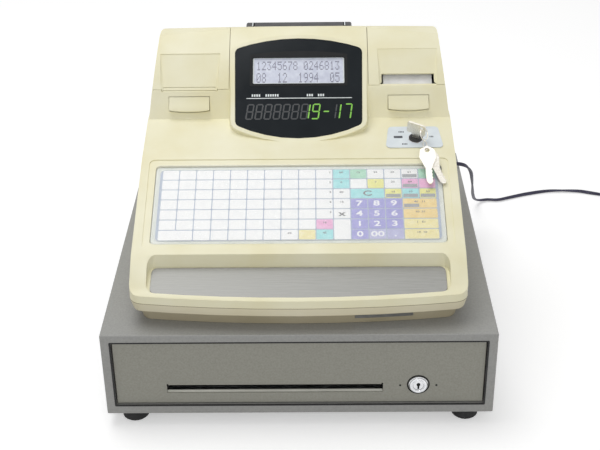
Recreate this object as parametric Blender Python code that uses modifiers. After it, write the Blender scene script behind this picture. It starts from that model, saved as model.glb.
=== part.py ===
# Ticket register on a cash drawer, in metres
# X runs to the right, Y to the back and Z up; the origin is the middle of the drawer case's footprint, on the table

import bpy
import bmesh
import math
from mathutils import Matrix, Vector

# Clearances that the whole object shares
seat_gap = 0.0003
overrun = 0.006
weld_distance = 0.00001

# Drawer case, folded steel sheet with a front frame
case_width = 0.420
case_depth = 0.430
case_height = 0.103
sheet = 0.002
band_side = 0.0105
band_top = 0.010
band_bottom = 0.0115
frame_fold = 0.014
case_edge = 0.0012
foot_height = 0.0155
foot_radius = 0.0145
foot_neck_radius = 0.0125
foot_chamfer = 0.0015
foot_side_inset = 0.028
foot_end_inset = 0.0205

# Drawer front, pan, rails
front_gap = 0.0012
front_setback = 0.0025
front_depth = 0.012
front_wall = 0.002
front_edge = 0.0008
slot_left = 0.143
slot_right = 0.090
slot_rise = 0.0133
slot_height = 0.012
slot_lip_depth = 0.005
slot_lip_wall = 0.0015
pan_space = 0.021
pan_rise = 0.0033
pan_height = 0.064
pan_rear_space = 0.0492
pan_wall = 0.0015
rail_reach = 0.010
rail_wall = 0.0015
ledge_reach = 0.012
ledge_rise = 0.0225
runner_wall = 0.0015
runner_reach = 0.0152
runner_rise = 0.034
runner_rear_space = 0.0163
runner_setback = 0.0012
lip_clearance = 0.0025
roller_radius = 0.008
roller_width = 0.011
axle_radius = 0.0025
roller_inset = 0.016

# Drawer lock
lock_x = 0.128
lock_rise = 0.0233
bezel_radius = 0.0105
bezel_height = 0.0022
lock_body_radius = 0.0085
lock_body_length = 0.0205
plug_radius = 0.0056
keyway_width = 0.0014
keyway_height = 0.006
keyway_depth = 0.004
cam_width = 0.009
cam_length = 0.0135
cam_wall = 0.002

# Cash tray and note clips
tray_height = 0.036
tray_rear_space = 0.0165
tray_setback = 0.0125
tray_floor = 0.003
tray_rib = 0.003
cup_depth = 0.085
cup_radius = 0.009
cup_count = 6
note_count = 4
clip_length = 0.105
clip_width = 0.020
clip_wall = 0.0014
clip_barrel_radius = 0.003
clip_inset = 0.006
clip_toe = 0.004

# Release unit at the rear of the case
release_width = 0.044
release_base_depth = 0.030
release_inset = 0.0015
coil_width = 0.030
coil_depth = 0.020
coil_height = 0.024
ear_wall = 0.002
ear_depth = 0.014
ear_height = 0.050
latch_width = 0.010
latch_hub_radius = 0.006
latch_pin_radius = 0.0025
latch_reach = 0.0365
latch_arm = 0.004
latch_tooth = 0.004
striker_width = 0.012
striker_reach = 0.0095
striker_wall = 0.0015
striker_lip = 0.0065
striker_drop = 0.006

# Register outline, seen from above; depths run back from the case's front face, rises up from the case's top
register_half = 0.1795
register_shoulder_half = 0.1765
register_front = 0.008
register_rear = 0.345
bow_radius = 1.2
front_corner = 0.016
shoulder_corner = 0.008
rear_corner = 0.014
foot_part_inset = 0.008
foot_part_front = 0.010
foot_part_taper = 0.003
foot_part_height = 0.016
foot_part_corner = 0.013
flange_draft = 0.003
base_height = 0.027
base_wall = 0.003

# Upper shell's side profile
shell_wall = 0.0028
lip_depth = 0.0098
lip_rise = 0.0366
brow_depth = 0.022
brow_rise = 0.0412
brow_bow_share = 0.8
ledge_depth = 0.058
ledge_top = 0.064
deck_front_depth = 0.178
deck_front_rise = 0.118
deck_rear_depth = 0.245
deck_rear_rise = 0.137
seam_depth = 0.260
seam_rise = 0.1665
crown_setback = 0.025
crown_rise = 0.2165
crown_bulge = 0.0035
top_rise = 0.2195
crest_drop = 0.0070
rear_shoulder = 0.022
block_half_low = 0.1755
block_half_high = 0.1645
block_front_corner = 0.005

# Palm recess and plate
palm_half = 0.161
palm_front = 0.0135
palm_rear = 0.0570
palm_corner = 0.011
palm_wall_lean = 0.002
palm_floor_front = 0.0352
palm_floor_rear = 0.0480
plate_half = 0.157
plate_wall = 0.0012
plate_margin = 0.0012
plate_corner = 0.006

# Keyboard, measured along the slope from the ledge to the deck
bed_half = 0.168
bed_front = 0.0085
bed_rear_margin = 0.0005
bed_depth = 0.0010
bed_corner = 0.006
cover_half = 0.160
cover_front = 0.0150
cover_length = 0.1075
cover_corner = 0.005
cover_wall = 0.0012
cover_rim = 0.0035
cover_rim_rise = 0.0022
key_pocket_depth = 0.0085
board_wall = 0.0050
key_sheet_wall = 0.0006
key_sheet_inset = 0.0052

# Display tower, measured along its own face
tower_foot_depth = 0.206
tower_foot_rise = 0.126
tower_top_setback = 0.025
tower_top_rise = 0.2218
tower_margin = 0.0055
tower_draft = 0.0055
tower_sink = 0.034
panel_half_low = 0.0730
panel_half_high = 0.0747
panel_bottom = 0.004
panel_low_corner = 0.0214
panel_high_corner = 0.1196
panel_top = 0.133
panel_corner = 0.007
panel_wall = 0.0024
panel_gap = 0.0004
lcd_half = 0.0535
lcd_low = 0.0738
lcd_high = 0.1080
lcd_wall = 0.0060
lcd_corner = 0.0015
digit_half = 0.0600
digit_low = 0.0250
digit_high = 0.0500
digit_wall = 0.0050
module_backing = 0.0030

# Printer covers and what lies under them
cover_inner = 0.081
cover_gap = 0.0009
cover_shell = 0.0025
receipt_seam_depth = 0.2635
receipt_seam_rise = 0.1695
hinge_rise = 0.186
hinge_offset = 0.0036
hinge_radius = 0.0028
hinge_pin_radius = 0.0012
hinge_pin_gap = 0.0004
hinge_knuckle = 0.016
hinge_ear = 0.007
scoop_x = 0.1278
scoop_half_low = 0.0293
scoop_half_high = 0.0350
scoop_length = 0.047
scoop_depth = 0.0024
scoop_flank = 0.0040
lip_drop = 0.0013
lip_reach = 0.004
far_reach = 0.030
scoop_end_share = 0.75
outlet_length = 0.0158
outlet_half = 0.0307
bay_wall = 0.0035
bay_front_depth = 0.2660
bay_rear_wall = 0.0060
bay_floor_rise = 0.108
bay_floor_wall = 0.004
bay_outer = 0.1655
bay_inner = 0.0850
lever_x = 0.1280
lever_half = 0.0235
lever_top = 0.0073
lever_bottom = 0.0253
lever_bulge = 0.0045
lever_root = 0.0050
lever_gap = 0.0006
lever_bow = 0.0022
lever_bulge_shares = ((0.30, 0.20), (0.55, 0.58), (0.80, 0.94), (0.93, 1.0), (1.0, 0.82))
lever_pin_inset = 0.0026
lever_pin_radius = 0.0012

# Printer mechanisms
mechanism_half = 0.0360
mechanism_wall = 0.0020
mechanism_front = 0.2675
mechanism_rear = 0.3365
mechanism_height = 0.060
roll_depth = 0.3085
roll_rise = 0.1540
roll_radius = 0.0255
roll_half = 0.0290
roll_core_radius = 0.0060
spindle_radius = 0.0040
spool_depth = 0.3110
spool_rise = 0.1720
spool_radius = 0.0140
journal_roll_radius = 0.0180
journal_roll_depth = 0.3080
journal_roll_rise = 0.1320
platen_depth = 0.2755
platen_rise = 0.1560
platen_radius = 0.0050
platen_pin_radius = 0.0016
head_height = 0.020
head_depth = 0.006
paper_half = 0.0285
paper_wall = 0.0004
paper_side_shares = (0.9, 0.5)
paper_sink = 0.0035

# Mode switch on the deck
mode_x = 0.134
mode_depth = 0.208
mode_plate_x = 0.132
mode_plate_low_half = 0.033
mode_plate_high_half = 0.0285
mode_plate_low = 0.016
mode_plate_high = 0.052
mode_plate_wall = 0.0008
mode_plate_corner = 0.005
barrel_radius = 0.008
barrel_rise = 0.0026
barrel_sink = 0.020
barrel_bore = 0.0052
key_shank_width = 0.0080
key_shank_height = 0.0056
key_wall = 0.0022
key_bow_half = 0.0110
key_bow_height = 0.0150
key_turn = math.radians(-28)
key_hole_radius = 0.0024
ring_radius = 0.0070
ring_wire = 0.0006
ring_lean = math.radians(30)
ring_slack = 0.0009
spare_wall = 0.0018
spare_hole_radius = 0.0030
spare_hole_rise = 0.0047
spare_slack = 0.0011
spare_angles = (math.radians(106), math.radians(82))
spare_turns = (math.radians(22), math.radians(4))
spare_tilts = (math.radians(11), math.radians(10))
spare_bow_radius = 0.0105
spare_blade_length = 0.0205
spare_blade_width = 0.0075
spare_tooth = 0.0012

# Circuit board and power unit inside the lower shell
post_radius = 0.004
post_height = 0.009
board_half = 0.110
board_front = 0.100
board_rear = 0.250
circuit_wall = 0.0016
power_x = 0.060
power_width = 0.080
power_depth = 0.060
power_front = 0.268
power_height = 0.034

# Customer display
customer_half = 0.0645
customer_depth = 0.0160
customer_height = 0.0480
customer_top = 0.2090
customer_pivot_drop = 0.0140
customer_gap = 0.0085
customer_ear_x = 0.0555
customer_ear_wall = 0.0018
customer_ear_half = 0.0040
customer_slot_gap = 0.0010
ear_gap = 0.0014
bracket_half = 0.0580
bracket_wall = 0.0030
bracket_height = 0.0660
bracket_pin_radius = 0.0018
bracket_pin_depth = 0.0030

# Mains cord: a flat twin flex, its strain relief, coil, tie and plug
cord_radius = 0.0025
bushing_radius = 0.0055
bushing_tip_radius = 0.0036
bushing_length = 0.026
bushing_x = 0.150
bushing_rise = 0.0125
coil_x = 0.515
coil_y = 0.332
coil_inner_radius = 0.0205
coil_pitch = 0.0055
coil_layer_turns = 3.5
coil_points_per_turn = 24
coil_lift = 0.0013
tie_width = 0.010
tie_wall = 0.0008
tail_length = 0.034
plug_length = 0.032
plug_width = 0.022
plug_height = 0.0135
plug_edge = 0.003
blade_length = 0.017
blade_width = 0.0063
blade_wall = 0.0015
blade_spacing = 0.0127

# Counts of facets
arc_steps = 5
bow_steps = 8
round_steps = 20
small_round_steps = 12

# Places that follow from the sizes
case_front = -case_depth / 2
case_rear = case_depth / 2
case_half = case_width / 2
case_floor = foot_height + sheet
case_top = foot_height + case_height
opening_half = case_half - band_side
opening_low = foot_height + band_bottom
opening_high = case_top - band_top
front_half = opening_half - front_gap
front_low = opening_low + front_gap
front_high = opening_high - front_gap
front_face = case_front + front_setback
front_back = front_face + front_depth
pan_half = case_half - sheet - pan_space
pan_low = front_low + pan_rise
pan_high = pan_low + pan_height
pan_front = front_back + seat_gap
pan_rear = case_rear - pan_rear_space
runner_face = case_half - sheet - seat_gap
shelf_low = case_floor + runner_rise
shelf_top = shelf_low + runner_wall
roller_z = shelf_top + seat_gap + roller_radius
rail_low = roller_z + roller_radius + seat_gap
rail_high = rail_low + rail_wall
runner_high = rail_high + lip_clearance + runner_wall
runner_front = front_back + runner_setback
runner_rear = case_rear - runner_rear_space
roller_x = runner_face - runner_wall - seat_gap - roller_width / 2
front_roller_y = runner_front + roller_inset
rear_roller_y = pan_rear - roller_inset
lock_z = front_low + lock_rise
tray_low = pan_low + pan_wall + ledge_rise + seat_gap
tray_high = tray_low + tray_height
tray_front = pan_front + tray_setback
tray_rear = pan_rear - tray_rear_space
tray_half = pan_half - pan_wall - seat_gap
release_rear = case_rear - sheet - release_inset
latch_y = release_rear - ear_depth / 2
latch_z = case_floor + seat_gap + ear_height - latch_hub_radius
plinth = case_top + seat_gap
seam_z = case_top + base_height
foot_part_half = register_half - foot_part_inset
crown_depth = register_rear - crown_setback
tower_top_depth = register_rear - tower_top_setback

parts = bpy.data.collections.new("ticket_register")
cutters = bpy.data.collections.new("cutters")


def start_scene():
    for item in list(bpy.data.objects):
        bpy.data.objects.remove(item, do_unlink=True)
    bpy.context.scene.collection.children.link(parts)
    bpy.context.scene.collection.children.link(cutters)


def finish(name, colour, roughness, metallic=0.0):
    # One Principled finish for each named surface
    material = bpy.data.materials.get(name)
    if material is None:
        material = bpy.data.materials.new(name)
        material.use_nodes = True
        shader = material.node_tree.nodes["Principled BSDF"]
        shader.inputs["Base Color"].default_value = (*colour, 1)
        shader.inputs["Roughness"].default_value = roughness
        shader.inputs["Metallic"].default_value = metallic
    return material


def finishes():
    # Colours are linear light
    return {
        "case_grey": finish("case_grey", (0.30, 0.30, 0.31), 0.45),
        "front_grey": finish("front_grey", (0.27, 0.27, 0.23), 0.50),
        "zinc_steel": finish("zinc_steel", (0.55, 0.56, 0.57), 0.40, 1.0),
        "chrome": finish("chrome", (0.80, 0.80, 0.82), 0.12, 1.0),
        "black_rubber": finish("black_rubber", (0.02, 0.02, 0.02), 0.80),
        "black_plastic": finish("black_plastic", (0.02, 0.02, 0.03), 0.50),
        "white_nylon": finish("white_nylon", (0.75, 0.75, 0.72), 0.45),
        "cream": finish("cream", (0.83, 0.80, 0.58), 0.45),
        "tan": finish("tan", (0.45, 0.40, 0.28), 0.50),
        "brushed": finish("brushed", (0.40, 0.40, 0.40), 0.35, 1.0),
        "clear": finish("clear", (0.85, 0.88, 0.86), 0.15),
        "sheet_white": finish("sheet_white", (0.95, 0.95, 0.97), 0.50),
        "board_green": finish("board_green", (0.03, 0.20, 0.08), 0.45),
        "black_gloss": finish("black_gloss", (0.015, 0.02, 0.022), 0.10),
        "lcd_grey": finish("lcd_grey", (0.52, 0.54, 0.66), 0.25),
        "pale_plate": finish("pale_plate", (0.70, 0.76, 0.80), 0.45),
        "nickel": finish("nickel", (0.55, 0.52, 0.46), 0.30, 1.0),
        "paper": finish("paper", (0.92, 0.92, 0.92), 0.85),
        "cord_blue": finish("cord_blue", (0.02, 0.015, 0.05), 0.50),
    }


def refresh(item):
    # Reads an object as its modifiers leave it
    bpy.context.view_layer.update()
    return item.evaluated_get(bpy.context.evaluated_depsgraph_get())


def add_object(name, data):
    item = bpy.data.objects.new(name, data)
    parts.objects.link(item)
    return item


def close_mesh(mesh):
    # Welds loose caps and turns every face outwards
    shape = bmesh.new()
    shape.from_mesh(mesh)
    bmesh.ops.remove_doubles(shape, verts=shape.verts, dist=weld_distance)
    bmesh.ops.recalc_face_normals(shape, faces=shape.faces)
    shape.to_mesh(mesh)
    shape.free()


def curve_to_mesh(item):
    # Replaces a curve with a welded mesh in the same place
    mesh = bpy.data.meshes.new_from_object(refresh(item))
    close_mesh(mesh)
    solid = add_object(item.name, mesh)
    solid.matrix_world = item.matrix_world
    name = item.name
    bpy.data.objects.remove(item)
    solid.name = name
    return solid


def outline_solid(name, outline, low, high, frame=None, holes=()):
    # A flat outline with holes, filled and drawn out along the frame's own Z
    curve = bpy.data.curves.new(name, "CURVE")
    curve.dimensions = "2D"
    curve.fill_mode = "BOTH"
    curve.extrude = (high - low) / 2
    for points in (outline, *holes):
        spline = curve.splines.new("POLY")
        spline.points.add(len(points) - 1)
        for point, place in zip(spline.points, points):
            point.co = (place[0], place[1], 0, 1)
        spline.use_cyclic_u = True
    item = add_object(name, curve)
    item.matrix_world = (frame or Matrix()) @ Matrix.Translation((0, 0, (low + high) / 2))
    return curve_to_mesh(item)


def box_solid(name, low, high, edge=0.0):
    # A box between two corners, its edges rounded if asked
    size = [b - a for a, b in zip(low, high)]
    middle = [(a + b) / 2 for a, b in zip(low, high)]
    shape = bmesh.new()
    bmesh.ops.create_cube(shape, size=1)
    bmesh.ops.scale(shape, vec=size, verts=shape.verts)
    mesh = bpy.data.meshes.new(name)
    shape.to_mesh(mesh)
    shape.free()
    item = add_object(name, mesh)
    item.location = middle
    if edge:
        round_edges(item, edge)
    return item


def round_edges(item, width, segments=2):
    bevel = item.modifiers.new("round_edges", "BEVEL")
    bevel.width = width
    bevel.segments = segments
    bevel.limit_method = "ANGLE"
    bevel.angle_limit = math.radians(35)


def turned_solid(name, profile, frame=None, steps=round_steps, closed=False):
    # A profile of (radius, height) pairs, top to bottom, turned round the frame's own Z
    mesh = bpy.data.meshes.new(name)
    edges = [(i, i + 1) for i in range(len(profile) - 1)]
    if closed:
        edges.append((len(profile) - 1, 0))
    mesh.from_pydata([(radius, 0, height) for radius, height in profile], edges, [])
    item = add_object(name, mesh)
    item.matrix_world = frame or Matrix()
    turn = item.modifiers.new("turn", "SCREW")
    turn.steps = steps
    turn.render_steps = steps
    turn.use_merge_vertices = True
    turn.merge_threshold = weld_distance
    return item


def rod_solid(name, radius, length, frame=None, steps=round_steps):
    # A round bar from the frame's origin along its Z
    return turned_solid(name, [(0, length), (radius, length), (radius, 0), (0, 0)], frame, steps)


def ring_solid(name, outer, inner, low, high, frame=None, steps=round_steps):
    profile = [(outer, high), (outer, low), (inner, low), (inner, high)]
    return turned_solid(name, profile, frame, steps, closed=True)


def tube_solid(name, points, radius, resolution=2, cyclic=False):
    # A wire or cord through its points
    curve = bpy.data.curves.new(name, "CURVE")
    curve.dimensions = "3D"
    curve.bevel_depth = radius
    curve.bevel_resolution = resolution
    curve.use_fill_caps = not cyclic
    spline = curve.splines.new("POLY")
    spline.points.add(len(points) - 1)
    for point, place in zip(spline.points, points):
        point.co = (*place, 1)
    spline.use_cyclic_u = cyclic
    return add_object(name, curve)


def loft_solid(name, low_outline, low, high_outline, high, frame=None):
    # A drafted block between two outlines with as many points
    count = len(low_outline)
    points = [(x, y, low) for x, y in low_outline] + [(x, y, high) for x, y in high_outline]
    faces = [tuple(range(count)), tuple(range(count, 2 * count))]
    faces += [(i, (i + 1) % count, count + (i + 1) % count, count + i) for i in range(count)]
    mesh = bpy.data.meshes.new(name)
    mesh.from_pydata(points, [], faces)
    close_mesh(mesh)
    item = add_object(name, mesh)
    item.matrix_world = frame or Matrix()
    return item


def combine(target, tool, operation):
    # Boolean with a helper that stays in the cutters' collection
    for collection in tool.users_collection:
        collection.objects.unlink(tool)
    cutters.objects.link(tool)
    tool.hide_render = True
    tool.display_type = "WIRE"
    step = target.modifiers.new(operation.lower(), "BOOLEAN")
    step.operation = operation
    step.solver = "EXACT"
    step.object = tool
    return target


def cut(target, *tools):
    for tool in tools:
        combine(target, tool, "DIFFERENCE")
    return target


def join(target, *tools):
    for tool in tools:
        combine(target, tool, "UNION")
    return target


def settle(item):
    # Applies the modifiers, with the same place
    mesh = bpy.data.meshes.new_from_object(refresh(item))
    item.modifiers.clear()
    item.data = mesh
    return item


def dress(item, material, origin=None):
    # Gives a piece its finish and, on a moving piece, an origin on its joint's axis
    if origin is not None:
        if item.modifiers and item.type == "MESH":
            settle(item)
        bpy.context.view_layer.update()
        matrix = item.matrix_world.copy()
        item.data.transform(Matrix.Translation(-Vector(origin)) @ matrix)
        item.matrix_world = Matrix.Translation(origin)
    item.data.materials.clear()
    item.data.materials.append(paints[material])
    if item.type == "MESH" and not item.modifiers:
        item.data.shade_smooth()
        item.data.set_sharp_from_angle(angle=math.radians(35))
    return item


def axis_frame(origin, direction):
    # Frame whose Z runs along a direction
    turn = Vector(direction).to_track_quat("Z", "Y").to_matrix().to_4x4()
    return Matrix.Translation(origin) @ turn


def side_frame():
    # Outline x runs along Y, outline y runs up Z, and the solid is drawn along X
    return Matrix(((0, 0, 1, 0), (1, 0, 0, 0), (0, 1, 0, 0), (0, 0, 0, 1)))


def side_point(depth, rise):
    return (case_front + depth, case_top + rise)


def side_solid(name, points, x_low, x_high):
    # A side profile drawn across the width
    return outline_solid(name, points, x_low, x_high, side_frame())


def front_solid(name, points, y_low, y_high):
    # A front view's outline of (x, z) points, drawn along Y
    upright = Matrix(((1, 0, 0, 0), (0, 0, -1, 0), (0, 1, 0, 0), (0, 0, 0, 1)))
    return outline_solid(name, points, -y_high, -y_low, upright)


def slope_frame(low_point, high_point):
    # Frame on a slope: X stays, Y runs up the slope and Z points out of it
    along = Vector((0, high_point[0] - low_point[0], high_point[1] - low_point[1])).normalized()
    across = Vector((1, 0, 0))
    out = across.cross(along)
    turn = Matrix((across, along, out)).transposed().to_4x4()
    return Matrix.Translation((0, low_point[0], low_point[1])) @ turn


def round_corners(points, radius, steps=arc_steps):
    # Fillets each corner; a radius may be one value or a list with one for each corner
    result = []
    count = len(points)
    for i in range(count):
        here = Vector(points[i])
        before = Vector(points[i - 1]) - here
        after = Vector(points[(i + 1) % count]) - here
        wanted = radius[i] if isinstance(radius, (list, tuple)) else radius
        angle = before.angle(after) if before.length and after.length else math.pi
        if not wanted or abs(angle - math.pi) < math.radians(1):
            result.append(tuple(here))
            continue
        reach = min(wanted / math.tan(angle / 2), before.length / 2.05, after.length / 2.05)
        fillet = reach * math.tan(angle / 2)
        middle = here + (before.normalized() + after.normalized()).normalized() * fillet / math.sin(angle / 2)
        start = here + before.normalized() * reach - middle
        end = here + after.normalized() * reach - middle
        turn = math.atan2(start.x * end.y - start.y * end.x, start.dot(end))
        for step in range(steps + 1):
            share = turn * step / steps
            x = start.x * math.cos(share) - start.y * math.sin(share)
            y = start.x * math.sin(share) + start.y * math.cos(share)
            result.append((middle.x + x, middle.y + y))
    return result


def circle_points(x, y, radius, steps):
    return [(x + radius * math.cos(a), y + radius * math.sin(a)) for a in (2 * math.pi * i / steps for i in range(steps))]


def bulged_line(start, end, bulge, steps):
    # Points of an arc from start to end that stands out by the bulge on its right side
    start = Vector(start)
    end = Vector(end)
    chord = end - start
    side = Vector((chord.y, -chord.x)).normalized()
    radius = (chord.length ** 2 / 4 + bulge ** 2) / (2 * bulge)
    half = math.asin(min(1, chord.length / 2 / radius))
    middle = (start + end) / 2 - side * (radius - bulge)
    points = []
    for step in range(steps + 1):
        angle = -half + 2 * half * step / steps
        points.append(tuple(middle + side * radius * math.cos(angle) + chord.normalized() * radius * math.sin(angle)))
    return points


def plan_outline(half, front, rear, corner, back_corner, bow=bow_radius):
    # The register seen from above, its front bowed
    sagitta = bow - math.sqrt(bow ** 2 - half ** 2)
    left = (-half, case_front + front + sagitta)
    right = (half, case_front + front + sagitta)
    points = bulged_line(left, right, sagitta, bow_steps)
    points += [(half, case_front + rear), (-half, case_front + rear)]
    radii = [corner] + [0] * (bow_steps - 1) + [corner, back_corner, back_corner]
    return round_corners(points, radii)


def build_case():
    edge = (case_half, case_rear, case_top)
    case = box_solid("drawer_case", (-case_half, case_front, foot_height), edge, case_edge)
    inner_half = case_half - sheet
    cavity = box_solid("case_cavity", (-inner_half, case_front + frame_fold, case_floor),
                       (inner_half, case_rear - sheet, case_top - sheet))
    opening = box_solid("case_opening", (-opening_half, case_front - overrun, opening_low),
                        (opening_half, case_front + frame_fold + overrun, opening_high))
    dress(cut(case, cavity, opening), "case_grey")
    for name, x_side, y_side in (("front_left", -1, -1), ("front_right", 1, -1),
                                 ("rear_left", -1, 1), ("rear_right", 1, 1)):
        place = (x_side * (case_half - foot_side_inset), y_side * (case_rear - foot_end_inset), 0)
        top = foot_height - seat_gap
        profile = [(0, top), (foot_neck_radius, top), (foot_radius, foot_chamfer * 2),
                   (foot_radius, foot_chamfer), (foot_radius - foot_chamfer, 0), (0, 0)]
        dress(turned_solid("foot_" + name, profile, Matrix.Translation(place)), "black_rubber")


def build_runners():
    for name, side in (("left", -1), ("right", 1)):
        outer = side * runner_face
        web = side * (runner_face - runner_wall)
        inner = side * (runner_face - runner_reach)
        outline = [(outer, shelf_low), (inner, shelf_low), (inner, shelf_top), (web, shelf_top),
                   (web, runner_high - runner_wall), (inner, runner_high - runner_wall),
                   (inner, runner_high), (outer, runner_high)]
        runner = front_solid("runner_" + name, outline, runner_front, runner_rear)
        pin_start = side * (runner_face - runner_wall / 2)
        pin = rod_solid("runner_axle_" + name, axle_radius, roller_width + runner_wall,
                        axis_frame((pin_start, front_roller_y, roller_z), (-side, 0, 0)), small_round_steps)
        dress(join(runner, pin), "zinc_steel")
        for place, y in (("front", front_roller_y), ("rear", rear_roller_y)):
            centre = (side * roller_x, y, roller_z)
            roller = ring_solid("roller_" + place + "_" + name, roller_radius, axle_radius + seat_gap,
                                -roller_width / 2, roller_width / 2, axis_frame(centre, (1, 0, 0)))
            dress(roller, "white_nylon", centre)


def build_drawer_front():
    front = box_solid("drawer_front", (-front_half, front_face, front_low), (front_half, front_back, front_high), front_edge)
    wall = front_wall
    hollow = box_solid("front_hollow", (-front_half + wall, front_face + wall, front_low + wall),
                       (front_half - wall, front_back + overrun, front_high - wall))
    slot_low = front_low + slot_rise
    slot = box_solid("front_slot", (-slot_left, front_face - overrun, slot_low),
                     (slot_right, front_back + overrun, slot_low + slot_height))
    lip = box_solid("slot_lip", (-slot_left, front_face + wall / 2, slot_low - slot_lip_wall),
                    (slot_right, front_face + wall + slot_lip_depth, slot_low))
    hole = rod_solid("lock_hole", lock_body_radius + seat_gap, front_depth + 2 * overrun,
                     axis_frame((lock_x, front_face - overrun, lock_z), (0, 1, 0)))
    cut(front, hollow)
    join(front, lip)
    dress(cut(front, slot, hole), "front_grey", (0, front_face, front_low))


def build_pan():
    pan = box_solid("drawer_pan", (-pan_half, pan_front, pan_low), (pan_half, pan_rear, pan_high))
    cut(pan, box_solid("pan_hollow", (-pan_half + pan_wall, pan_front + pan_wall, pan_low + pan_wall),
                       (pan_half - pan_wall, pan_rear - pan_wall, pan_high + overrun)))
    for name, side in (("left", -1), ("right", 1)):
        wall_x = side * (pan_half - pan_wall / 2)
        rail_x = side * (pan_half + rail_reach)
        rail = box_solid("rail_" + name, (min(wall_x, rail_x), pan_front, rail_low),
                         (max(wall_x, rail_x), pan_rear, rail_high))
        ledge_x = side * (pan_half - pan_wall - ledge_reach)
        ledge_high = tray_low - seat_gap
        ledge = box_solid("tray_ledge_" + name, (min(wall_x, ledge_x), tray_front, ledge_high - pan_wall),
                          (max(wall_x, ledge_x), tray_rear, ledge_high))
        pin = rod_solid("pan_axle_" + name, axle_radius, roller_x + roller_width / 2 - abs(wall_x),
                        axis_frame((wall_x, rear_roller_y, roller_z), (side, 0, 0)), small_round_steps)
        join(pan, rail, ledge, pin)
    slot_low = front_low + slot_rise
    window = box_solid("pan_window", (-slot_left, pan_front - overrun, slot_low),
                       (slot_right, pan_front + pan_wall + overrun, slot_low + slot_height))
    hole = rod_solid("pan_lock_hole", lock_body_radius + seat_gap, pan_wall + 2 * overrun,
                     axis_frame((lock_x, pan_front - overrun, lock_z), (0, 1, 0)))
    cut(pan, window, hole)
    striker_top = latch_z - striker_drop
    join(pan, box_solid("striker_shelf", (-striker_width / 2, pan_rear - pan_wall / 2, striker_top - striker_lip),
                        (striker_width / 2, pan_rear + striker_reach, striker_top - striker_lip + striker_wall)),
         box_solid("striker_lip", (-striker_width / 2, pan_rear + striker_reach - striker_wall, striker_top - striker_lip),
                   (striker_width / 2, pan_rear + striker_reach, striker_top)))
    dress(pan, "zinc_steel", (0, pan_front, pan_low))


def build_lock():
    nose = axis_frame((lock_x, front_face, lock_z), (0, -1, 0))
    step = bezel_height / 2
    bore = plug_radius + seat_gap
    profile = [(bore, bezel_height), (bezel_radius - step, bezel_height), (bezel_radius, step),
               (bezel_radius, seat_gap), (lock_body_radius, seat_gap), (lock_body_radius, -lock_body_length),
               (bore, -lock_body_length)]
    dress(turned_solid("lock_housing", profile, nose, round_steps, closed=True), "chrome",
          (lock_x, front_face, lock_z))
    face = bezel_height - seat_gap
    profile = [(0, face), (plug_radius, face), (plug_radius, -lock_body_length), (0, -lock_body_length)]
    plug = turned_solid("lock_plug", profile, nose)
    keyway_y = front_face - bezel_height
    keyway = box_solid("lock_keyway", (lock_x - keyway_width / 2, keyway_y - overrun, lock_z - keyway_height / 2),
                       (lock_x + keyway_width / 2, keyway_y + keyway_depth, lock_z + keyway_height / 2))
    dress(cut(plug, keyway), "chrome", (lock_x, front_face, lock_z))
    cam_near = front_face + lock_body_length + seat_gap
    half = cam_width / 2
    outline = round_corners([(lock_x - half, lock_z + half), (lock_x - half, lock_z - cam_length),
                             (lock_x + half, lock_z - cam_length), (lock_x + half, lock_z + half)], half * 0.9)
    dress(front_solid("lock_cam", outline, cam_near, cam_near + cam_wall), "zinc_steel",
          (lock_x, front_face, lock_z))


def note_compartments():
    # Left and right side of each note compartment, and the front and rear of them all
    pitch = (2 * tray_half - tray_rib) / note_count
    sides = [(-tray_half + tray_rib + i * pitch, -tray_half + (i + 1) * pitch) for i in range(note_count)]
    return sides, tray_front + 2 * tray_rib + cup_depth, tray_rear - tray_rib


def build_tray():
    tray = box_solid("cash_tray", (-tray_half, tray_front, tray_low), (tray_half, tray_rear, tray_high))
    pitch = (2 * tray_half - tray_rib) / cup_count
    for i in range(cup_count):
        left = -tray_half + tray_rib + i * pitch
        cup = box_solid("coin_cup_%d" % (i + 1), (left, tray_front + tray_rib, tray_low + tray_floor),
                        (left + pitch - tray_rib, tray_front + tray_rib + cup_depth, tray_high + 2 * cup_radius), cup_radius)
        cut(tray, cup)
    sides, near, far = note_compartments()
    for i, (left, right) in enumerate(sides):
        cut(tray, box_solid("note_space_%d" % (i + 1), (left, near, tray_low + tray_floor), (right, far, tray_high + overrun)))
    dress(tray, "black_plastic", (0, tray_front, tray_low))
    pivot_y = far - clip_inset
    pivot_z = tray_high - clip_inset
    toe_z = tray_low + tray_floor + seat_gap + clip_wall
    drop = math.asin((pivot_z - toe_z) / clip_length)
    for i, (left, right) in enumerate(sides):
        middle = (left + right) / 2
        toe_y = pivot_y - clip_length * math.cos(drop)
        outline = [(pivot_y, pivot_z + clip_wall / 2), (toe_y, toe_z + clip_wall / 2),
                   (toe_y - clip_toe, toe_z + clip_toe), (toe_y - clip_toe - clip_wall, toe_z + clip_toe - clip_wall / 2),
                   (toe_y, toe_z - clip_wall / 2), (pivot_y, pivot_z - clip_wall / 2)]
        clip = side_solid("note_clip_%d" % (i + 1), outline, middle - clip_width / 2, middle + clip_width / 2)
        barrel = rod_solid("clip_barrel_%d" % (i + 1), clip_barrel_radius, right - left - 2 * seat_gap,
                           axis_frame((left + seat_gap, pivot_y, pivot_z), (1, 0, 0)), small_round_steps)
        dress(join(clip, barrel), "black_plastic", (middle, pivot_y, pivot_z))


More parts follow.
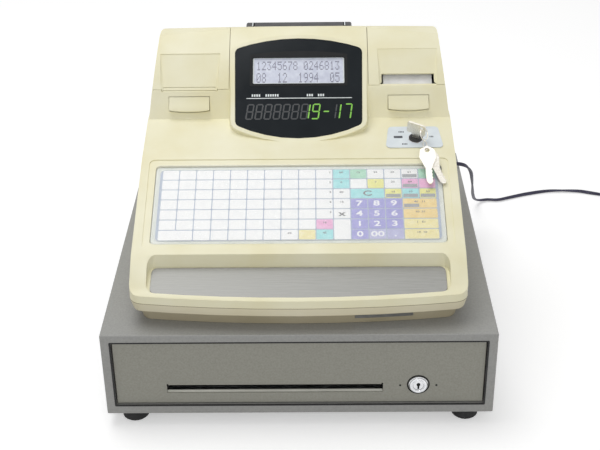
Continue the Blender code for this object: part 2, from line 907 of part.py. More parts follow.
def build_release():
    low = case_floor + seat_gap
    half = release_width / 2
    base = box_solid("release_solenoid", (-half, release_rear - release_base_depth, low),
                     (half, release_rear, low + ear_wall))
    inset = ear_wall / 4
    winding = box_solid("solenoid_winding", (-coil_width / 2, release_rear - coil_depth, low + ear_wall / 2),
                        (coil_width / 2, release_rear - inset, low + coil_height))
    join(base, winding)
    for name, side in (("left", -1), ("right", 1)):
        edges = sorted((side * (half - inset), side * (half - inset - ear_wall)))
        join(base, box_solid("latch_ear_" + name, (edges[0], release_rear - ear_depth, low + inset),
                             (edges[1], release_rear - inset, low + ear_height)))
    join(base, rod_solid("latch_pin", latch_pin_radius, release_width - ear_wall,
                         axis_frame((-half + ear_wall / 2, latch_y, latch_z), (1, 0, 0)), small_round_steps))
    dress(base, "zinc_steel")
    tip_y = latch_y - latch_reach
    hub = latch_hub_radius
    outline = [(latch_y, latch_z + hub * 0.9), (tip_y, latch_z + hub * 0.9), (tip_y, latch_z + hub * 0.9 - latch_arm - latch_tooth),
               (tip_y + latch_tooth, latch_z + hub * 0.9 - latch_arm - latch_tooth),
               (tip_y + latch_tooth, latch_z + hub * 0.9 - latch_arm), (latch_y, latch_z + hub * 0.9 - latch_arm)]
    latch = side_solid("release_latch", outline, -latch_width / 2, latch_width / 2)
    join(latch, rod_solid("latch_hub", hub, latch_width,
                          axis_frame((-latch_width / 2, latch_y, latch_z), (1, 0, 0))))
    cut(latch, rod_solid("latch_bore", latch_pin_radius + seat_gap, latch_width + 2 * overrun,
                         axis_frame((-latch_width / 2 - overrun, latch_y, latch_z), (1, 0, 0)), small_round_steps))
    dress(latch, "zinc_steel", (0, latch_y, latch_z))


def build_base_shell():
    # A foot part that leans in to the case, under a drafted flange
    low = plinth
    high = case_top + foot_part_height
    inner = base_wall
    taper = foot_part_taper
    near = register_front + foot_part_front
    base = loft_solid("base_shell", foot_outline(foot_part_half - taper, near + taper, register_rear - taper, 0),
                      low, foot_outline(foot_part_half, near, register_rear, 0), high + inner / 2)
    join(base, flange_solid("base_flange", 0, high, seam_z))
    cavity = loft_solid("base_cavity", foot_outline(foot_part_half - taper, near + taper, register_rear - taper, inner),
                        low + inner, foot_outline(foot_part_half, near, register_rear, inner), high + 2 * inner)
    cut(base, cavity, flange_solid("base_rim", inner, high + inner, seam_z + overrun))
    post_top = low + inner + post_height
    for i, (x, y) in enumerate(board_posts()):
        join(base, rod_solid("board_post_%d" % (i + 1), post_radius, post_height + inner / 2,
                             Matrix.Translation((x, y, post_top - post_height - inner / 2)), small_round_steps))
    hole = rod_solid("bushing_hole", bushing_radius + seat_gap, base_wall * 4,
                     axis_frame((bushing_x, case_front + register_rear - base_wall * 2, bushing_z()), (0, 1, 0)))
    cut(base, hole)
    dress(base, "tan")
    board = box_solid("main_board", (-board_half, case_front + board_front, post_top + seat_gap),
                      (board_half, case_front + board_rear, post_top + seat_gap + circuit_wall))
    dress(board, "board_green")
    power_low = low + inner + seat_gap
    power = box_solid("power_unit", (power_x - power_width, case_front + power_front, power_low),
                      (power_x, case_front + power_front + power_depth, power_low + power_height), sheet)
    dress(power, "zinc_steel")


def foot_outline(half, front, rear, inset):
    return plan_outline(half - inset, front + inset, rear - inset, foot_part_corner - inset, rear_corner - inset)


def flange_solid(name, inset, low, high):
    # The flange that carries the upper shell, drafted in towards its lower edge
    wide = plan_outline(register_half - inset, register_front + inset, register_rear - inset,
                        front_corner - inset, rear_corner - inset)
    inset += flange_draft
    narrow = plan_outline(register_half - inset, register_front + inset, register_rear - inset,
                          front_corner - inset, rear_corner - inset)
    return loft_solid(name, narrow, low, wide, high)


def board_posts():
    margin = 2 * post_radius
    near = case_front + board_front + margin
    far = case_front + board_rear - margin
    return [(x, y) for x in (-board_half + margin, board_half - margin) for y in (near, far)]


def bushing_z():
    return plinth + bushing_rise


def sag(x):
    # How far the bowed front lies back at a distance from the middle
    return bow_radius - math.sqrt(bow_radius ** 2 - x ** 2)


def ruled_solid(name, profile, half):
    # A side profile drawn across the width, whose points may follow the bowed front
    count = 2 * bow_steps
    points = []
    for i in range(count + 1):
        x = -half + 2 * half * i / count
        points += [(x, y, z) for y, z in profile(sag(x))]
    size = len(points) // (count + 1)
    faces = [tuple(range(size)), tuple(range(count * size, (count + 1) * size))]
    for i in range(count):
        for k in range(size):
            a = i * size + k
            b = i * size + (k + 1) % size
            faces += [(a, b, b + size), (a, b + size, a + size)]
    mesh = bpy.data.meshes.new(name)
    mesh.from_pydata(points, [], faces)
    close_mesh(mesh)
    return add_object(name, mesh)


def body_profile(back):
    # Side profile of the keyboard body, closed below and behind, its lip set back with the bow
    front = side_point(-overrun, base_height)[0]
    rear = case_front + register_rear + overrun
    points = [(front, seam_z - overrun), (front, case_top + lip_rise)]
    points += [side_point(lip_depth + back, lip_rise), side_point(brow_depth + back * brow_bow_share, brow_rise),
               side_point(ledge_depth, ledge_top), side_point(deck_front_depth, deck_front_rise),
               side_point(deck_rear_depth, deck_rear_rise), (rear, case_top + deck_rear_rise), (rear, seam_z - overrun)]
    return points


def palm_floor(back):
    # Front and rear of the palm recess's floor, its front set back with the bow
    slope = (palm_floor_rear - palm_floor_front) / (palm_rear - palm_front - back)
    near = side_point(palm_front + back - overrun, palm_floor_front - overrun * slope)
    return near, side_point(palm_rear, palm_floor_rear)


def build_body(name):
    # Keyboard body: a drafted, bowed block under the side profile
    low = seam_z + seat_gap
    top = case_top + deck_rear_rise + overrun
    wide = plan_outline(register_half, register_front, register_rear, front_corner, rear_corner)
    narrow = plan_outline(register_shoulder_half, register_front, register_rear, shoulder_corner, rear_corner)
    body = loft_solid(name, wide, low, narrow, top)
    profile = ruled_solid(name + "_profile", body_profile, register_half + overrun)
    return combine(body, profile, "INTERSECT")


def block_profile(inset):
    # Side profile of the printer block, set in by a wall
    foot = Vector(side_point(deck_rear_depth, deck_rear_rise))
    seam = Vector(side_point(seam_depth, seam_rise))
    crown = Vector(side_point(crown_depth, crown_rise))
    rear_y = case_front + register_rear - inset
    top_z = case_top + top_rise - inset
    rise = (seam - foot).normalized()
    out = Vector((rise.y, -rise.x))
    foot = foot + out * inset
    seam = seam + out * inset
    lean = (crown - seam).normalized()
    seam = seam + Vector((lean.y, -lean.x)) * inset * 0.6
    crown = crown + Vector((lean.y, -lean.x)) * inset
    low = Vector((foot.x - rise.x / rise.y * overrun * 4, foot.y - overrun * 4))
    slope = bulged_line(crown, seam, crown_bulge, 5)
    slope.reverse()
    shoulder = [(rear_y - rear_shoulder * 0.75, top_z), (rear_y - rear_shoulder * 0.25, top_z - rear_shoulder * 0.25),
                (rear_y, top_z - rear_shoulder)]
    return [tuple(low)] + slope + shoulder + [(rear_y, low.y)]


def build_block(name, inset=0.0):
    # Printer block: drafted sides under the block's own profile
    low = case_top + deck_rear_rise - overrun * 4
    high = case_top + top_rise + overrun
    front = deck_rear_depth - block_front_corner * 3
    drafted = (block_half_low - block_half_high) / (top_rise - deck_rear_rise)
    low_half = block_half_low + drafted * overrun * 4 - inset
    high_half = block_half_high - drafted * overrun - inset
    wide = plan_outline(low_half, front, register_rear - inset, 0, rear_corner, bow_radius)
    narrow = plan_outline(high_half, front, register_rear - inset, 0, rear_corner, bow_radius)
    block = loft_solid(name, wide, low, narrow, high)
    profile = side_solid(name + "_profile", block_profile(inset), -register_half - overrun, register_half + overrun)
    combine(block, profile, "INTERSECT")
    half = block_half_low + overrun
    side_z = case_top + top_rise - crest_drop - inset
    crest = [(-half, low - overrun), (half, low - overrun)] + bulged_line((half, side_z), (-half, side_z), crest_drop, bow_steps)
    arch = front_solid(name + "_crest", crest, case_front, case_rear)
    return combine(block, arch, "INTERSECT")


def tower_frame():
    return slope_frame(side_point(tower_foot_depth, tower_foot_rise), side_point(tower_top_depth, tower_top_rise))


def tower_length():
    return math.hypot(tower_top_depth - tower_foot_depth, tower_top_rise - tower_foot_rise)


def panel_outline(margin):
    # The display window's outline on the tower's face, grown by a margin
    low_left = (-panel_half_low - margin, panel_low_corner - margin * 0.5)
    low_right = (panel_half_low + margin, panel_low_corner - margin * 0.5)
    high_right = (panel_half_high + margin, panel_high_corner + margin * 0.5)
    high_left = (-panel_half_high - margin, panel_high_corner + margin * 0.5)
    bottom = bulged_line(low_left, low_right, panel_low_corner - panel_bottom + margin * 0.5, bow_steps)
    top = bulged_line(high_right, high_left, panel_top - panel_high_corner + margin * 0.5, bow_steps)
    corner = panel_corner + margin
    radii = [corner] + [0] * (bow_steps - 1) + [corner]
    return round_corners(bottom + top, radii + radii, 3)


def build_tower():
    # Display tower: the window's outline, grown and drafted down into the body
    face = panel_outline(tower_margin)
    foot = panel_outline(tower_margin + tower_draft)
    return loft_solid("display_tower", foot, -tower_sink, face, 0, tower_frame())


def cover_zone(name, gap, seam, side):
    # The stretch of the printer block that a cover takes, deeper under the scoop's lip
    near = side * (cover_inner + gap - seat_gap)
    far = side * (register_half + overrun)
    zone = side_solid(name, zone_profile(gap, seam, 0, far_reach), min(near, far), max(near, far))
    if side > 0:
        return zone
    centre = side * scoop_x
    half = scoop_half_low + scoop_flank - gap
    lip = side_solid(name + "_lip", zone_profile(gap, seam, lip_drop, lip_reach), centre - half, centre + half)
    return join(zone, lip)


def zone_profile(gap, seam, drop, reach):
    front = side_point(seam[0], seam[1])
    low = front[1] + gap - drop
    hinge_y = case_front + register_rear
    hinge_z = case_top + hinge_rise + gap
    high = case_top + top_rise + overrun * 2
    if drop:
        return [(front[0] - far_reach, low), (front[0] + reach, low), (front[0] + reach, high), (front[0] - far_reach, high)]
    return [(front[0] - reach, low), (front[0], low), (hinge_y - rear_shoulder, hinge_z),
            (hinge_y + overrun, hinge_z), (hinge_y + overrun, high), (front[0] - reach, high)]


def scoop_solid(name, side, seam, grow):
    # A shallow scoop with slanted flanks that runs up a cover from its front lip
    frame = slope_frame(side_point(seam[0], seam[1]), side_point(crown_depth, crown_rise))
    centre = side * scoop_x
    rise = crown_bulge + overrun * 2
    stations = ((scoop_half_low, -overrun, -scoop_depth, scoop_flank),
                (scoop_half_high, scoop_length, crown_bulge * scoop_end_share, 0))
    points = []
    for half, along, depth, flank in stations:
        half += grow
        row = [(-half, depth - grow), (half, depth - grow), (half + flank, 0), (half + flank, rise),
               (-half - flank, rise), (-half - flank, 0)]
        if not flank:
            row = [(-half, depth - grow), (half, depth - grow), (half + grow + seat_gap, depth + seat_gap),
                   (half + grow + seat_gap, rise), (-half - grow - seat_gap, rise), (-half - grow - seat_gap, depth + seat_gap)]
        points += [(centre + x, along, z) for x, z in row]
    faces = [tuple(range(6)), tuple(range(6, 12))]
    faces += [(k, (k + 1) % 6, (k + 1) % 6 + 6, k + 6) for k in range(6)]
    mesh = bpy.data.meshes.new(name)
    mesh.from_pydata(points, [], faces)
    close_mesh(mesh)
    item = add_object(name, mesh)
    item.matrix_world = frame
    return item


def side_name(side):
    return "left" if side < 0 else "right"


def hinge_line():
    return (case_front + register_rear + hinge_offset, case_top + hinge_rise)


def seam_of(side):
    return (seam_depth, seam_rise) if side < 0 else (receipt_seam_depth, receipt_seam_rise)


def build_top_shell():
    shell = build_body("top_shell")
    block = build_block("printer_block")
    join(shell, block, build_tower())
    face = tower_frame()
    for side in (-1, 1):
        cut(shell, cover_zone("cover_zone_" + side_name(side), seat_gap, seam_of(side), side))
    # Palm recess
    palm = ruled_solid("palm_recess", palm_profile, register_half)
    palm_plan = plan_outline(palm_half, palm_front, palm_rear + palm_wall_lean, palm_corner, palm_corner)
    plan = outline_solid("palm_plan", palm_plan, case_top, case_top + deck_rear_rise)
    cut(shell, combine(palm, plan, "INTERSECT"))
    # Keyboard bed and pocket
    bed = slope_frame(side_point(ledge_depth, ledge_top), side_point(deck_front_depth, deck_front_rise))
    slope_length = math.hypot(deck_front_depth - ledge_depth, deck_front_rise - ledge_top)
    outline = round_corners([(-bed_half, bed_front), (bed_half, bed_front), (bed_half, slope_length - bed_rear_margin),
                             (-bed_half, slope_length - bed_rear_margin)], bed_corner)
    cut(shell, outline_solid("keyboard_bed", outline, -bed_depth, overrun, bed))
    cut(shell, outline_solid("keyboard_pocket", cover_outline(seat_gap), -key_pocket_depth, overrun, bed))
    # Display window, LCD and digit pockets
    cut(shell, outline_solid("panel_pocket", panel_outline(panel_gap), -panel_wall, overrun, face))
    lcd = rectangle(lcd_half + seat_gap, lcd_low - seat_gap, lcd_high + seat_gap, lcd_corner)
    cut(shell, outline_solid("lcd_pocket", lcd, -panel_wall - seat_gap - lcd_wall, overrun, face))
    digits = rectangle(digit_half + seat_gap, digit_low - seat_gap, digit_high + seat_gap, lcd_corner)
    cut(shell, outline_solid("digit_pocket", digits, -panel_wall - seat_gap - digit_wall, overrun, face))
    hollow_shell(shell)
    for side in (-1, 1):
        bay_x = sorted((side * bay_inner, side * bay_outer))
        bay = box_solid("bay_%s" % ("left" if side < 0 else "right"), (bay_x[0], case_front + bay_front_depth, case_top + bay_floor_rise),
                        (bay_x[1], case_front + register_rear - bay_rear_wall, case_top + top_rise))
        cut(shell, bay)
        cut(shell, lever_pocket(side))
        join(shell, lever_rod("lever_pin_%s" % ("left" if side < 0 else "right"), side, lever_pin_radius, 3 * lever_gap))
    for item in hinge_ears():
        join(shell, item)
    deck = deck_frame()
    cut(shell, rod_solid("barrel_hole", barrel_radius + seat_gap, barrel_sink + 2 * overrun,
                         deck @ Matrix.Translation((mode_x, mode_along(), -barrel_sink - overrun))))
    dress(shell, "cream")


def palm_profile(back):
    # The palm recess above its floor, its rear wall leaning back
    near, far = palm_floor(back)
    high = case_top + deck_front_rise
    lean = far[0] + palm_wall_lean
    return [near, far, (lean, case_top + ledge_top + overrun), (lean, high), (near[0], high)]


def rectangle(half, low, high, corner):
    return round_corners([(-half, low), (half, low), (half, high), (-half, high)], corner, 2)


def hollow_shell(shell):
    # The inside of the upper shell, open to the lower shell
    wall = shell_wall
    pocket = key_pocket_depth + wall
    low = seam_z - overrun
    bed = slope_frame(side_point(ledge_depth, ledge_top), side_point(deck_front_depth, deck_front_rise))
    slope_length = math.hypot(deck_front_depth - ledge_depth, deck_front_rise - ledge_top)
    under_front = bed @ Vector((0, bed_front, -pocket))
    under_rear = bed @ Vector((0, slope_length, -pocket))
    deck = deck_frame()
    deck_near = deck @ Vector((0, pocket, -wall))
    deck_far = deck @ Vector((0, deck_length() - wall, -wall))
    bay_front = case_front + bay_front_depth - bay_wall
    bay_low = case_top + bay_floor_rise - bay_floor_wall
    rear = case_front + register_rear - wall
    lip_y = case_front + palm_front + wall
    floor_z = case_top + palm_floor_front - wall
    points = [(case_front + palm_rear, case_top + palm_floor_rear - wall),
              (under_front.y, under_front.z), (under_rear.y, under_rear.z), (deck_near.y, deck_near.z),
              (deck_far.y, deck_far.z), (bay_front, deck_far.z), (bay_front, bay_low), (rear, bay_low), (rear, low)]
    cavity = ruled_solid("shell_cavity", lambda back: [(lip_y + back, low), (lip_y + back, floor_z)] + points,
                         register_half)
    inner_wide = plan_outline(register_half - wall, register_front + wall, register_rear - wall,
                              front_corner - wall, rear_corner - wall)
    inner_narrow = plan_outline(register_shoulder_half - wall, register_front + wall, register_rear - wall,
                                shoulder_corner - wall, rear_corner - wall)
    plan = loft_solid("shell_cavity_plan", inner_wide, low - overrun, inner_narrow, case_top + deck_rear_rise + overrun)
    cut(shell, combine(cavity, plan, "INTERSECT"))
    # Under the display tower
    face = tower_frame()
    depth = panel_wall + seat_gap + lcd_wall + module_backing
    low_end = face @ Vector((0, panel_low_corner + wall, -depth))
    high_end = face @ Vector((0, tower_length() - 2 * wall, -depth))
    points = [(low_end.y, low_end.z), (high_end.y, high_end.z), (rear, high_end.z), (rear, bay_low - wall), (low_end.y, bay_low - wall)]
    half = bay_inner - bay_wall - wall
    cut(shell, side_solid("tower_cavity", points, -half, half))


def deck_frame():
    return slope_frame(side_point(deck_front_depth, deck_front_rise), side_point(deck_rear_depth, deck_rear_rise))


def deck_length():
    return math.hypot(deck_rear_depth - deck_front_depth, deck_rear_rise - deck_front_rise)


def mode_along():
    # Distance of the switch's centre up the deck
    return (mode_depth - deck_front_depth) / (deck_rear_depth - deck_front_depth) * deck_length()


def cover_outline(grow):
    half = cover_half + grow
    return round_corners([(-half, cover_front - grow), (half, cover_front - grow),
                          (half, cover_front + cover_length + grow), (-half, cover_front + cover_length + grow)], cover_corner)


def hinge_ears():
    # Two ears and a pin for each cover, on the rear wall
    y, z = hinge_line()
    items = []
    for side, name in ((-1, "left"), (1, "right")):
        centre = side * scoop_x
        reach = hinge_knuckle / 2 + seat_gap
        for number, (a, b) in enumerate(((centre - reach - hinge_ear, centre - reach), (centre + reach, centre + reach + hinge_ear))):
            outline = [(y - hinge_offset - bay_rear_wall / 2, z - hinge_radius * 3), (y, z - hinge_radius), (y + hinge_radius, z),
                       (y, z + hinge_radius), (y - hinge_radius, z + hinge_radius * 0.2), (y - hinge_offset - seat_gap, z - seat_gap * 2),
                       (y - hinge_offset - bay_rear_wall / 2, z - seat_gap * 2)]
            items.append(side_solid("hinge_ear_%s_%d" % (name, number + 1), outline, a, b))
        pin_length = hinge_knuckle + 2 * seat_gap + hinge_ear
        items.append(rod_solid("hinge_pin_" + name, hinge_pin_radius, pin_length,
                               axis_frame((centre - pin_length / 2, y, z), (1, 0, 0)), small_round_steps))
    return items


def build_cover(side):
    name = "journal_cover" if side < 0 else "receipt_cover"
    seam = seam_of(side)
    far = side * (register_half + overrun)
    cover = build_block(name)
    combine(cover, cover_zone(name + "_zone", cover_gap, seam, side), "INTERSECT")
    inner = build_block(name + "_inner", cover_shell)
    inner_near = side * (cover_inner + cover_gap + cover_shell)
    combine(inner, side_solid(name + "_inner_zone", [(case_front, case_top), (case_front + case_depth, case_top),
                                                     (case_front + case_depth, case_top + 2 * top_rise), (case_front, case_top + 2 * top_rise)],
                              min(inner_near, far), max(inner_near, far)), "INTERSECT")
    cut(inner, scoop_solid(name + "_scoop_wall", side, seam, cover_shell))
    cut(cover, inner, scoop_solid(name + "_scoop", side, seam, 0))
    y, z = hinge_line()
    if side > 0:
        frame = slope_frame(side_point(*seam), side_point(crown_depth, crown_rise))
        centre = side * scoop_x
        outline = [(centre - outlet_half, -overrun), (centre + outlet_half, -overrun), (centre + outlet_half, outlet_length),
                   (centre - outlet_half, outlet_length)]
        cut(cover, outline_solid(name + "_outlet", outline, -scoop_depth - cover_shell * 3, overrun, frame))
    centre = side * scoop_x
    knuckle = rod_solid(name + "_knuckle", hinge_radius, hinge_knuckle, axis_frame((centre - hinge_knuckle / 2, y, z), (1, 0, 0)))
    wall_y = case_front + register_rear
    web = box_solid(name + "_web", (centre - hinge_knuckle / 2, wall_y - cover_shell / 2, z + cover_gap),
                    (centre + hinge_knuckle / 2, y, z + hinge_radius))
    join(cover, knuckle, web)
    cut(cover, rod_solid(name + "_bore", hinge_pin_radius + hinge_pin_gap, hinge_knuckle + 2 * overrun,
                         axis_frame((centre - hinge_knuckle / 2 - overrun, y, z), (1, 0, 0)), small_round_steps))
    dress(cover, "cream", (centre, y, z))


def lever_frame():
    # Frame on the block's front face: Y runs down from the seam and Z points out
    seam = side_point(seam_depth, seam_rise)
    foot = side_point(deck_rear_depth, deck_rear_rise)
    up = slope_frame(foot, seam)
    length = math.hypot(seam_depth - deck_rear_depth, seam_rise - deck_rear_rise)
    return up @ Matrix.Translation((0, length, 0))


def lever_profile(frame):
    # Side profile of a finger lever in the face's own measures, then placed in the side view
    length = lever_bottom - lever_top
    shape = [(-lever_top, -lever_root), (-lever_top, 0)]
    shape += [(-lever_top - length * along, lever_bulge * out) for along, out in lever_bulge_shares]
    shape += [(-lever_bottom, -lever_root)]
    places = [frame @ Vector((0, along, out)) for along, out in shape]
    return [(place.y, place.z) for place in places]


def lever_outline(side, grow):
    # A lever seen square on, its lower edge bowed down
    centre = side * lever_x
    half = lever_half + grow
    low = -lever_bottom - grow
    bowed = bulged_line((centre - half, low + lever_bow), (centre + half, low + lever_bow), lever_bow, bow_steps)
    return bowed + [(centre + half, -lever_top + grow), (centre - half, -lever_top + grow)]


def lever_pocket(side):
    return outline_solid("lever_pocket_" + side_name(side), lever_outline(side, lever_gap), -lever_pocket_depth(),
                         overrun, lever_frame())


def lever_pocket_depth():
    return lever_root + lever_gap


def lever_pivot(side):
    return lever_frame() @ Vector((side * lever_x, -lever_top - lever_pin_inset, -lever_root + lever_pin_inset))


def lever_rod(name, side, radius, reach):
    # A bar along a lever's pivot, past the lever's ends by the reach
    start = lever_pivot(side) - Vector((lever_half + reach, 0, 0))
    return rod_solid(name, radius, 2 * (lever_half + reach), axis_frame(start, (1, 0, 0)), small_round_steps)


def build_lever(side):
    name = "journal_lever" if side < 0 else "receipt_lever"
    centre = side * lever_x
    lever = side_solid(name, lever_profile(lever_frame()), centre - lever_half, centre + lever_half)
    plan = outline_solid(name + "_plan", lever_outline(side, 0), -lever_root - overrun, overrun, lever_frame())
    combine(lever, plan, "INTERSECT")
    cut(lever, lever_rod(name + "_bore", side, lever_pin_radius + seat_gap, overrun))
    dress(lever, "cream", tuple(lever_pivot(side)))


def build_palm_plate():
    plate = ruled_solid("palm_plate", plate_profile, register_half)
    outline = plan_outline(plate_half, palm_front + plate_margin, palm_rear - plate_margin, plate_corner, plate_corner)
    plan = outline_solid("palm_plate_plan", outline, case_top, case_top + deck_rear_rise)
    dress(combine(plate, plan, "INTERSECT"), "brushed")


def plate_profile(back):
    near, far = palm_floor(back)
    high = seat_gap + plate_wall
    return [(near[0], near[1] + seat_gap), (far[0], far[1] + seat_gap), (far[0], far[1] + high), (near[0], near[1] + high)]


def build_keyboard():
    bed = slope_frame(side_point(ledge_depth, ledge_top), side_point(deck_front_depth, deck_front_rise))
    low = -key_pocket_depth + seat_gap
    inner = cover_outline(-key_sheet_inset)
    dress(outline_solid("keyboard_board", cover_outline(-seat_gap), low, low + board_wall, bed), "board_green")
    low += board_wall + seat_gap
    dress(outline_solid("key_sheet", inner, low, low + key_sheet_wall, bed), "sheet_white")
    cover_low = low
    low += key_sheet_wall + seat_gap
    cover = outline_solid("keyboard_cover", cover_outline(-seat_gap), cover_low, low + cover_wall + cover_rim_rise, bed)
    under = outline_solid("cover_under", cover_outline(-key_sheet_inset + seat_gap), cover_low - overrun, low, bed)
    above = outline_solid("cover_above", cover_outline(-cover_rim), low + cover_wall, low + cover_wall + cover_rim_rise + overrun, bed)
    dress(cut(cover, under, above), "clear")


def build_display():
    face = tower_frame()
    panel = outline_solid("display_window", panel_outline(0), -panel_wall + seat_gap, 0, face)
    window = rectangle(lcd_half, lcd_low, lcd_high, lcd_corner)
    cut(panel, outline_solid("lcd_window", window, -panel_wall - overrun, overrun, face))
    dress(panel, "black_gloss")
    module_low = -panel_wall - lcd_wall
    dress(outline_solid("lcd_module", rectangle(lcd_half, lcd_low, lcd_high, lcd_corner), module_low, -panel_wall, face), "lcd_grey")
    digit_face = rectangle(digit_half, digit_low, digit_high, lcd_corner)
    dress(outline_solid("digit_display", digit_face, -panel_wall - digit_wall, -panel_wall, face), "board_green")


def build_mechanism(side):
    # Printer frame in its bay, a floor and two cheeks, with the head block in front
    name = "journal_printer" if side < 0 else "receipt_printer"
    centre = side * scoop_x
    low = case_top + bay_floor_rise + seat_gap
    near = case_front + mechanism_front
    far = case_front + mechanism_rear
    inset = mechanism_wall / 2
    frame = box_solid(name, (centre - mechanism_half + inset, near + inset, low + inset / 2),
                      (centre + mechanism_half - inset, far - inset, low + mechanism_wall))
    for number, cheek in enumerate((-1, 1)):
        outer = centre + cheek * mechanism_half
        inner = centre + cheek * (mechanism_half - mechanism_wall)
        points = [(near, low), (far, low), (far, low + mechanism_height), (case_front + platen_depth + platen_radius * 2, low + mechanism_height),
                  (near, case_top + platen_rise + platen_radius)]
        join(frame, side_solid("%s_cheek_%d" % (name, number + 1), points, min(outer, inner), max(outer, inner)))
    cheek_inner = mechanism_half - mechanism_wall
    head_top = case_top + platen_rise - platen_radius - seat_gap
    join(frame, box_solid(name + "_head", (centre - cheek_inner - mechanism_wall / 2, near + mechanism_wall, head_top - head_height),
                          (centre + cheek_inner + mechanism_wall / 2, near + mechanism_wall + head_depth, head_top)))
    pins = [(platen_depth, platen_rise, platen_pin_radius)]
    if side < 0:
        pins += [(spool_depth, spool_rise, spindle_radius), (journal_roll_depth, journal_roll_rise, spindle_radius)]
    else:
        pins += [(roll_depth, roll_rise, spindle_radius)]
    for number, (depth, rise, radius) in enumerate(pins):
        start = (centre - cheek_inner - mechanism_wall / 2, case_front + depth, case_top + rise)
        join(frame, rod_solid("%s_pin_%d" % (name, number + 1), radius, 2 * cheek_inner + mechanism_wall,
                              axis_frame(start, (1, 0, 0)), small_round_steps))
    dress(frame, "zinc_steel")
    turning(("journal" if side < 0 else "receipt") + "_platen", centre, platen_depth, platen_rise, platen_radius,
            platen_pin_radius, cheek_inner - seat_gap, "black_rubber")
    if side < 0:
        turning("journal_roll", centre, journal_roll_depth, journal_roll_rise, journal_roll_radius, spindle_radius, roll_half, "paper")
        turning("take_up_spool", centre, spool_depth, spool_rise, spool_radius, spindle_radius, roll_half, "black_plastic")
    else:
        turning("receipt_roll", centre, roll_depth, roll_rise, roll_radius, spindle_radius, roll_half, "paper")


def turning(name, centre, depth, rise, radius, pin_radius, half, material):
    # A roll or roller on its pin
    place = (centre, case_front + depth, case_top + rise)
    item = ring_solid(name, radius, pin_radius + seat_gap, -half, half, axis_frame(place, (1, 0, 0)))
    dress(item, material, place)


def build_receipt_paper():
    # The strip that shows in the outlet: up from the platen, then under the cover's scoop
    centre = scoop_x
    frame = slope_frame(side_point(receipt_seam_depth, receipt_seam_rise), side_point(crown_depth, crown_rise))
    low_end = frame @ Vector((0, outlet_length * 0.05, -scoop_depth - paper_sink))
    high_end = frame @ Vector((0, outlet_length * 1.15, -scoop_depth - cover_shell - paper_sink * 0.6))
    foot = (case_front + platen_depth - platen_radius - seat_gap * 3, case_top + platen_rise)
    path = [foot, (low_end.y, low_end.z), (high_end.y, high_end.z)]
    back, down = paper_side_shares
    outline = path + [(y + paper_wall * back, z - paper_wall * down) for y, z in reversed(path)]
    dress(side_solid("receipt_paper", outline, centre - paper_half, centre + paper_half), "paper")


def build_mode_switch():
    deck = deck_frame()
    along = mode_along()
    outline = [(mode_plate_x - mode_plate_low_half, mode_plate_low), (mode_plate_x + mode_plate_low_half, mode_plate_low),
               (mode_plate_x + mode_plate_high_half, mode_plate_high), (mode_plate_x - mode_plate_high_half, mode_plate_high)]
    hole = circle_points(mode_x, along, barrel_radius + seat_gap, round_steps)
    plate = outline_solid("mode_plate", round_corners(outline, mode_plate_corner), seat_gap, seat_gap + mode_plate_wall,
                          deck, [hole])
    dress(plate, "pale_plate")
    place = deck @ Matrix.Translation((mode_x, along, 0))
    barrel = [(barrel_bore + seat_gap, barrel_rise), (barrel_radius, barrel_rise), (barrel_radius, -barrel_sink),
              (barrel_bore + seat_gap, -barrel_sink)]
    dress(turned_solid("mode_barrel", barrel, place, round_steps, closed=True), "black_plastic")
    axis = tuple(place.translation)
    plug_profile = [(0, barrel_rise - seat_gap), (barrel_bore, barrel_rise - seat_gap), (barrel_bore, -barrel_sink), (0, -barrel_sink)]
    dress(turned_solid("mode_plug", plug_profile, place), "black_plastic", axis)
    turned = place @ Matrix.Rotation(key_turn, 4, "Z")
    upright = turned @ Matrix(((1, 0, 0, 0), (0, 0, -1, 0), (0, 1, 0, 0), (0, 0, 0, 1)))
    low = barrel_rise
    bow_low = low + key_shank_height
    shank = key_shank_width / 2
    outline = [(-shank, low), (shank, low), (shank, bow_low), (key_bow_half, bow_low), (key_bow_half, bow_low + key_bow_height),
               (-key_bow_half, bow_low + key_bow_height), (-key_bow_half, bow_low), (-shank, bow_low)]
    radii = [0, 0, 0, key_hole_radius, key_hole_radius, key_hole_radius, key_hole_radius, 0]
    hole_x, hole_y = key_hole_place()
    hole = circle_points(hole_x, hole_y, key_hole_radius, small_round_steps)
    key = outline_solid("mode_key", round_corners(outline, radii, 3), -key_wall / 2, key_wall / 2, upright, [hole])
    dress(key, "nickel", axis)


def key_hole_place():
    # Centre of the hole in the key's bow, in the key's own plane
    return key_bow_half - 2 * key_hole_radius, barrel_rise + key_shank_height + key_bow_height - 2 * key_hole_radius


def ring_frame():
    # Hole of the key's bow, and the ring's centre with its two directions: along the lean, and forward through the hole
    deck = deck_frame()
    place = deck @ Matrix.Translation((mode_x, mode_along(), 0)) @ Matrix.Rotation(key_turn, 4, "Z")
    hole_x, hole_y = key_hole_place()
    hole = place @ Vector((hole_x, 0, hole_y - key_hole_radius + ring_wire + ring_slack))
    turn = place.to_3x3()
    lean = turn @ Vector((math.sin(ring_lean), 0, -math.cos(ring_lean)))
    forward = turn @ Vector((0, -1, 0))
    return hole, hole + lean * ring_radius, lean, forward


def ring_point(angle):
    hole, centre, lean, forward = ring_frame()
    return centre - lean * ring_radius * math.cos(angle) + forward * ring_radius * math.sin(angle)


def build_key_ring():
    points = [ring_point(2 * math.pi * i / round_steps) for i in range(round_steps)]
    hole = ring_frame()[0]
    dress(tube_solid("key_ring", points, ring_wire, 1, cyclic=True), "nickel", tuple(hole))


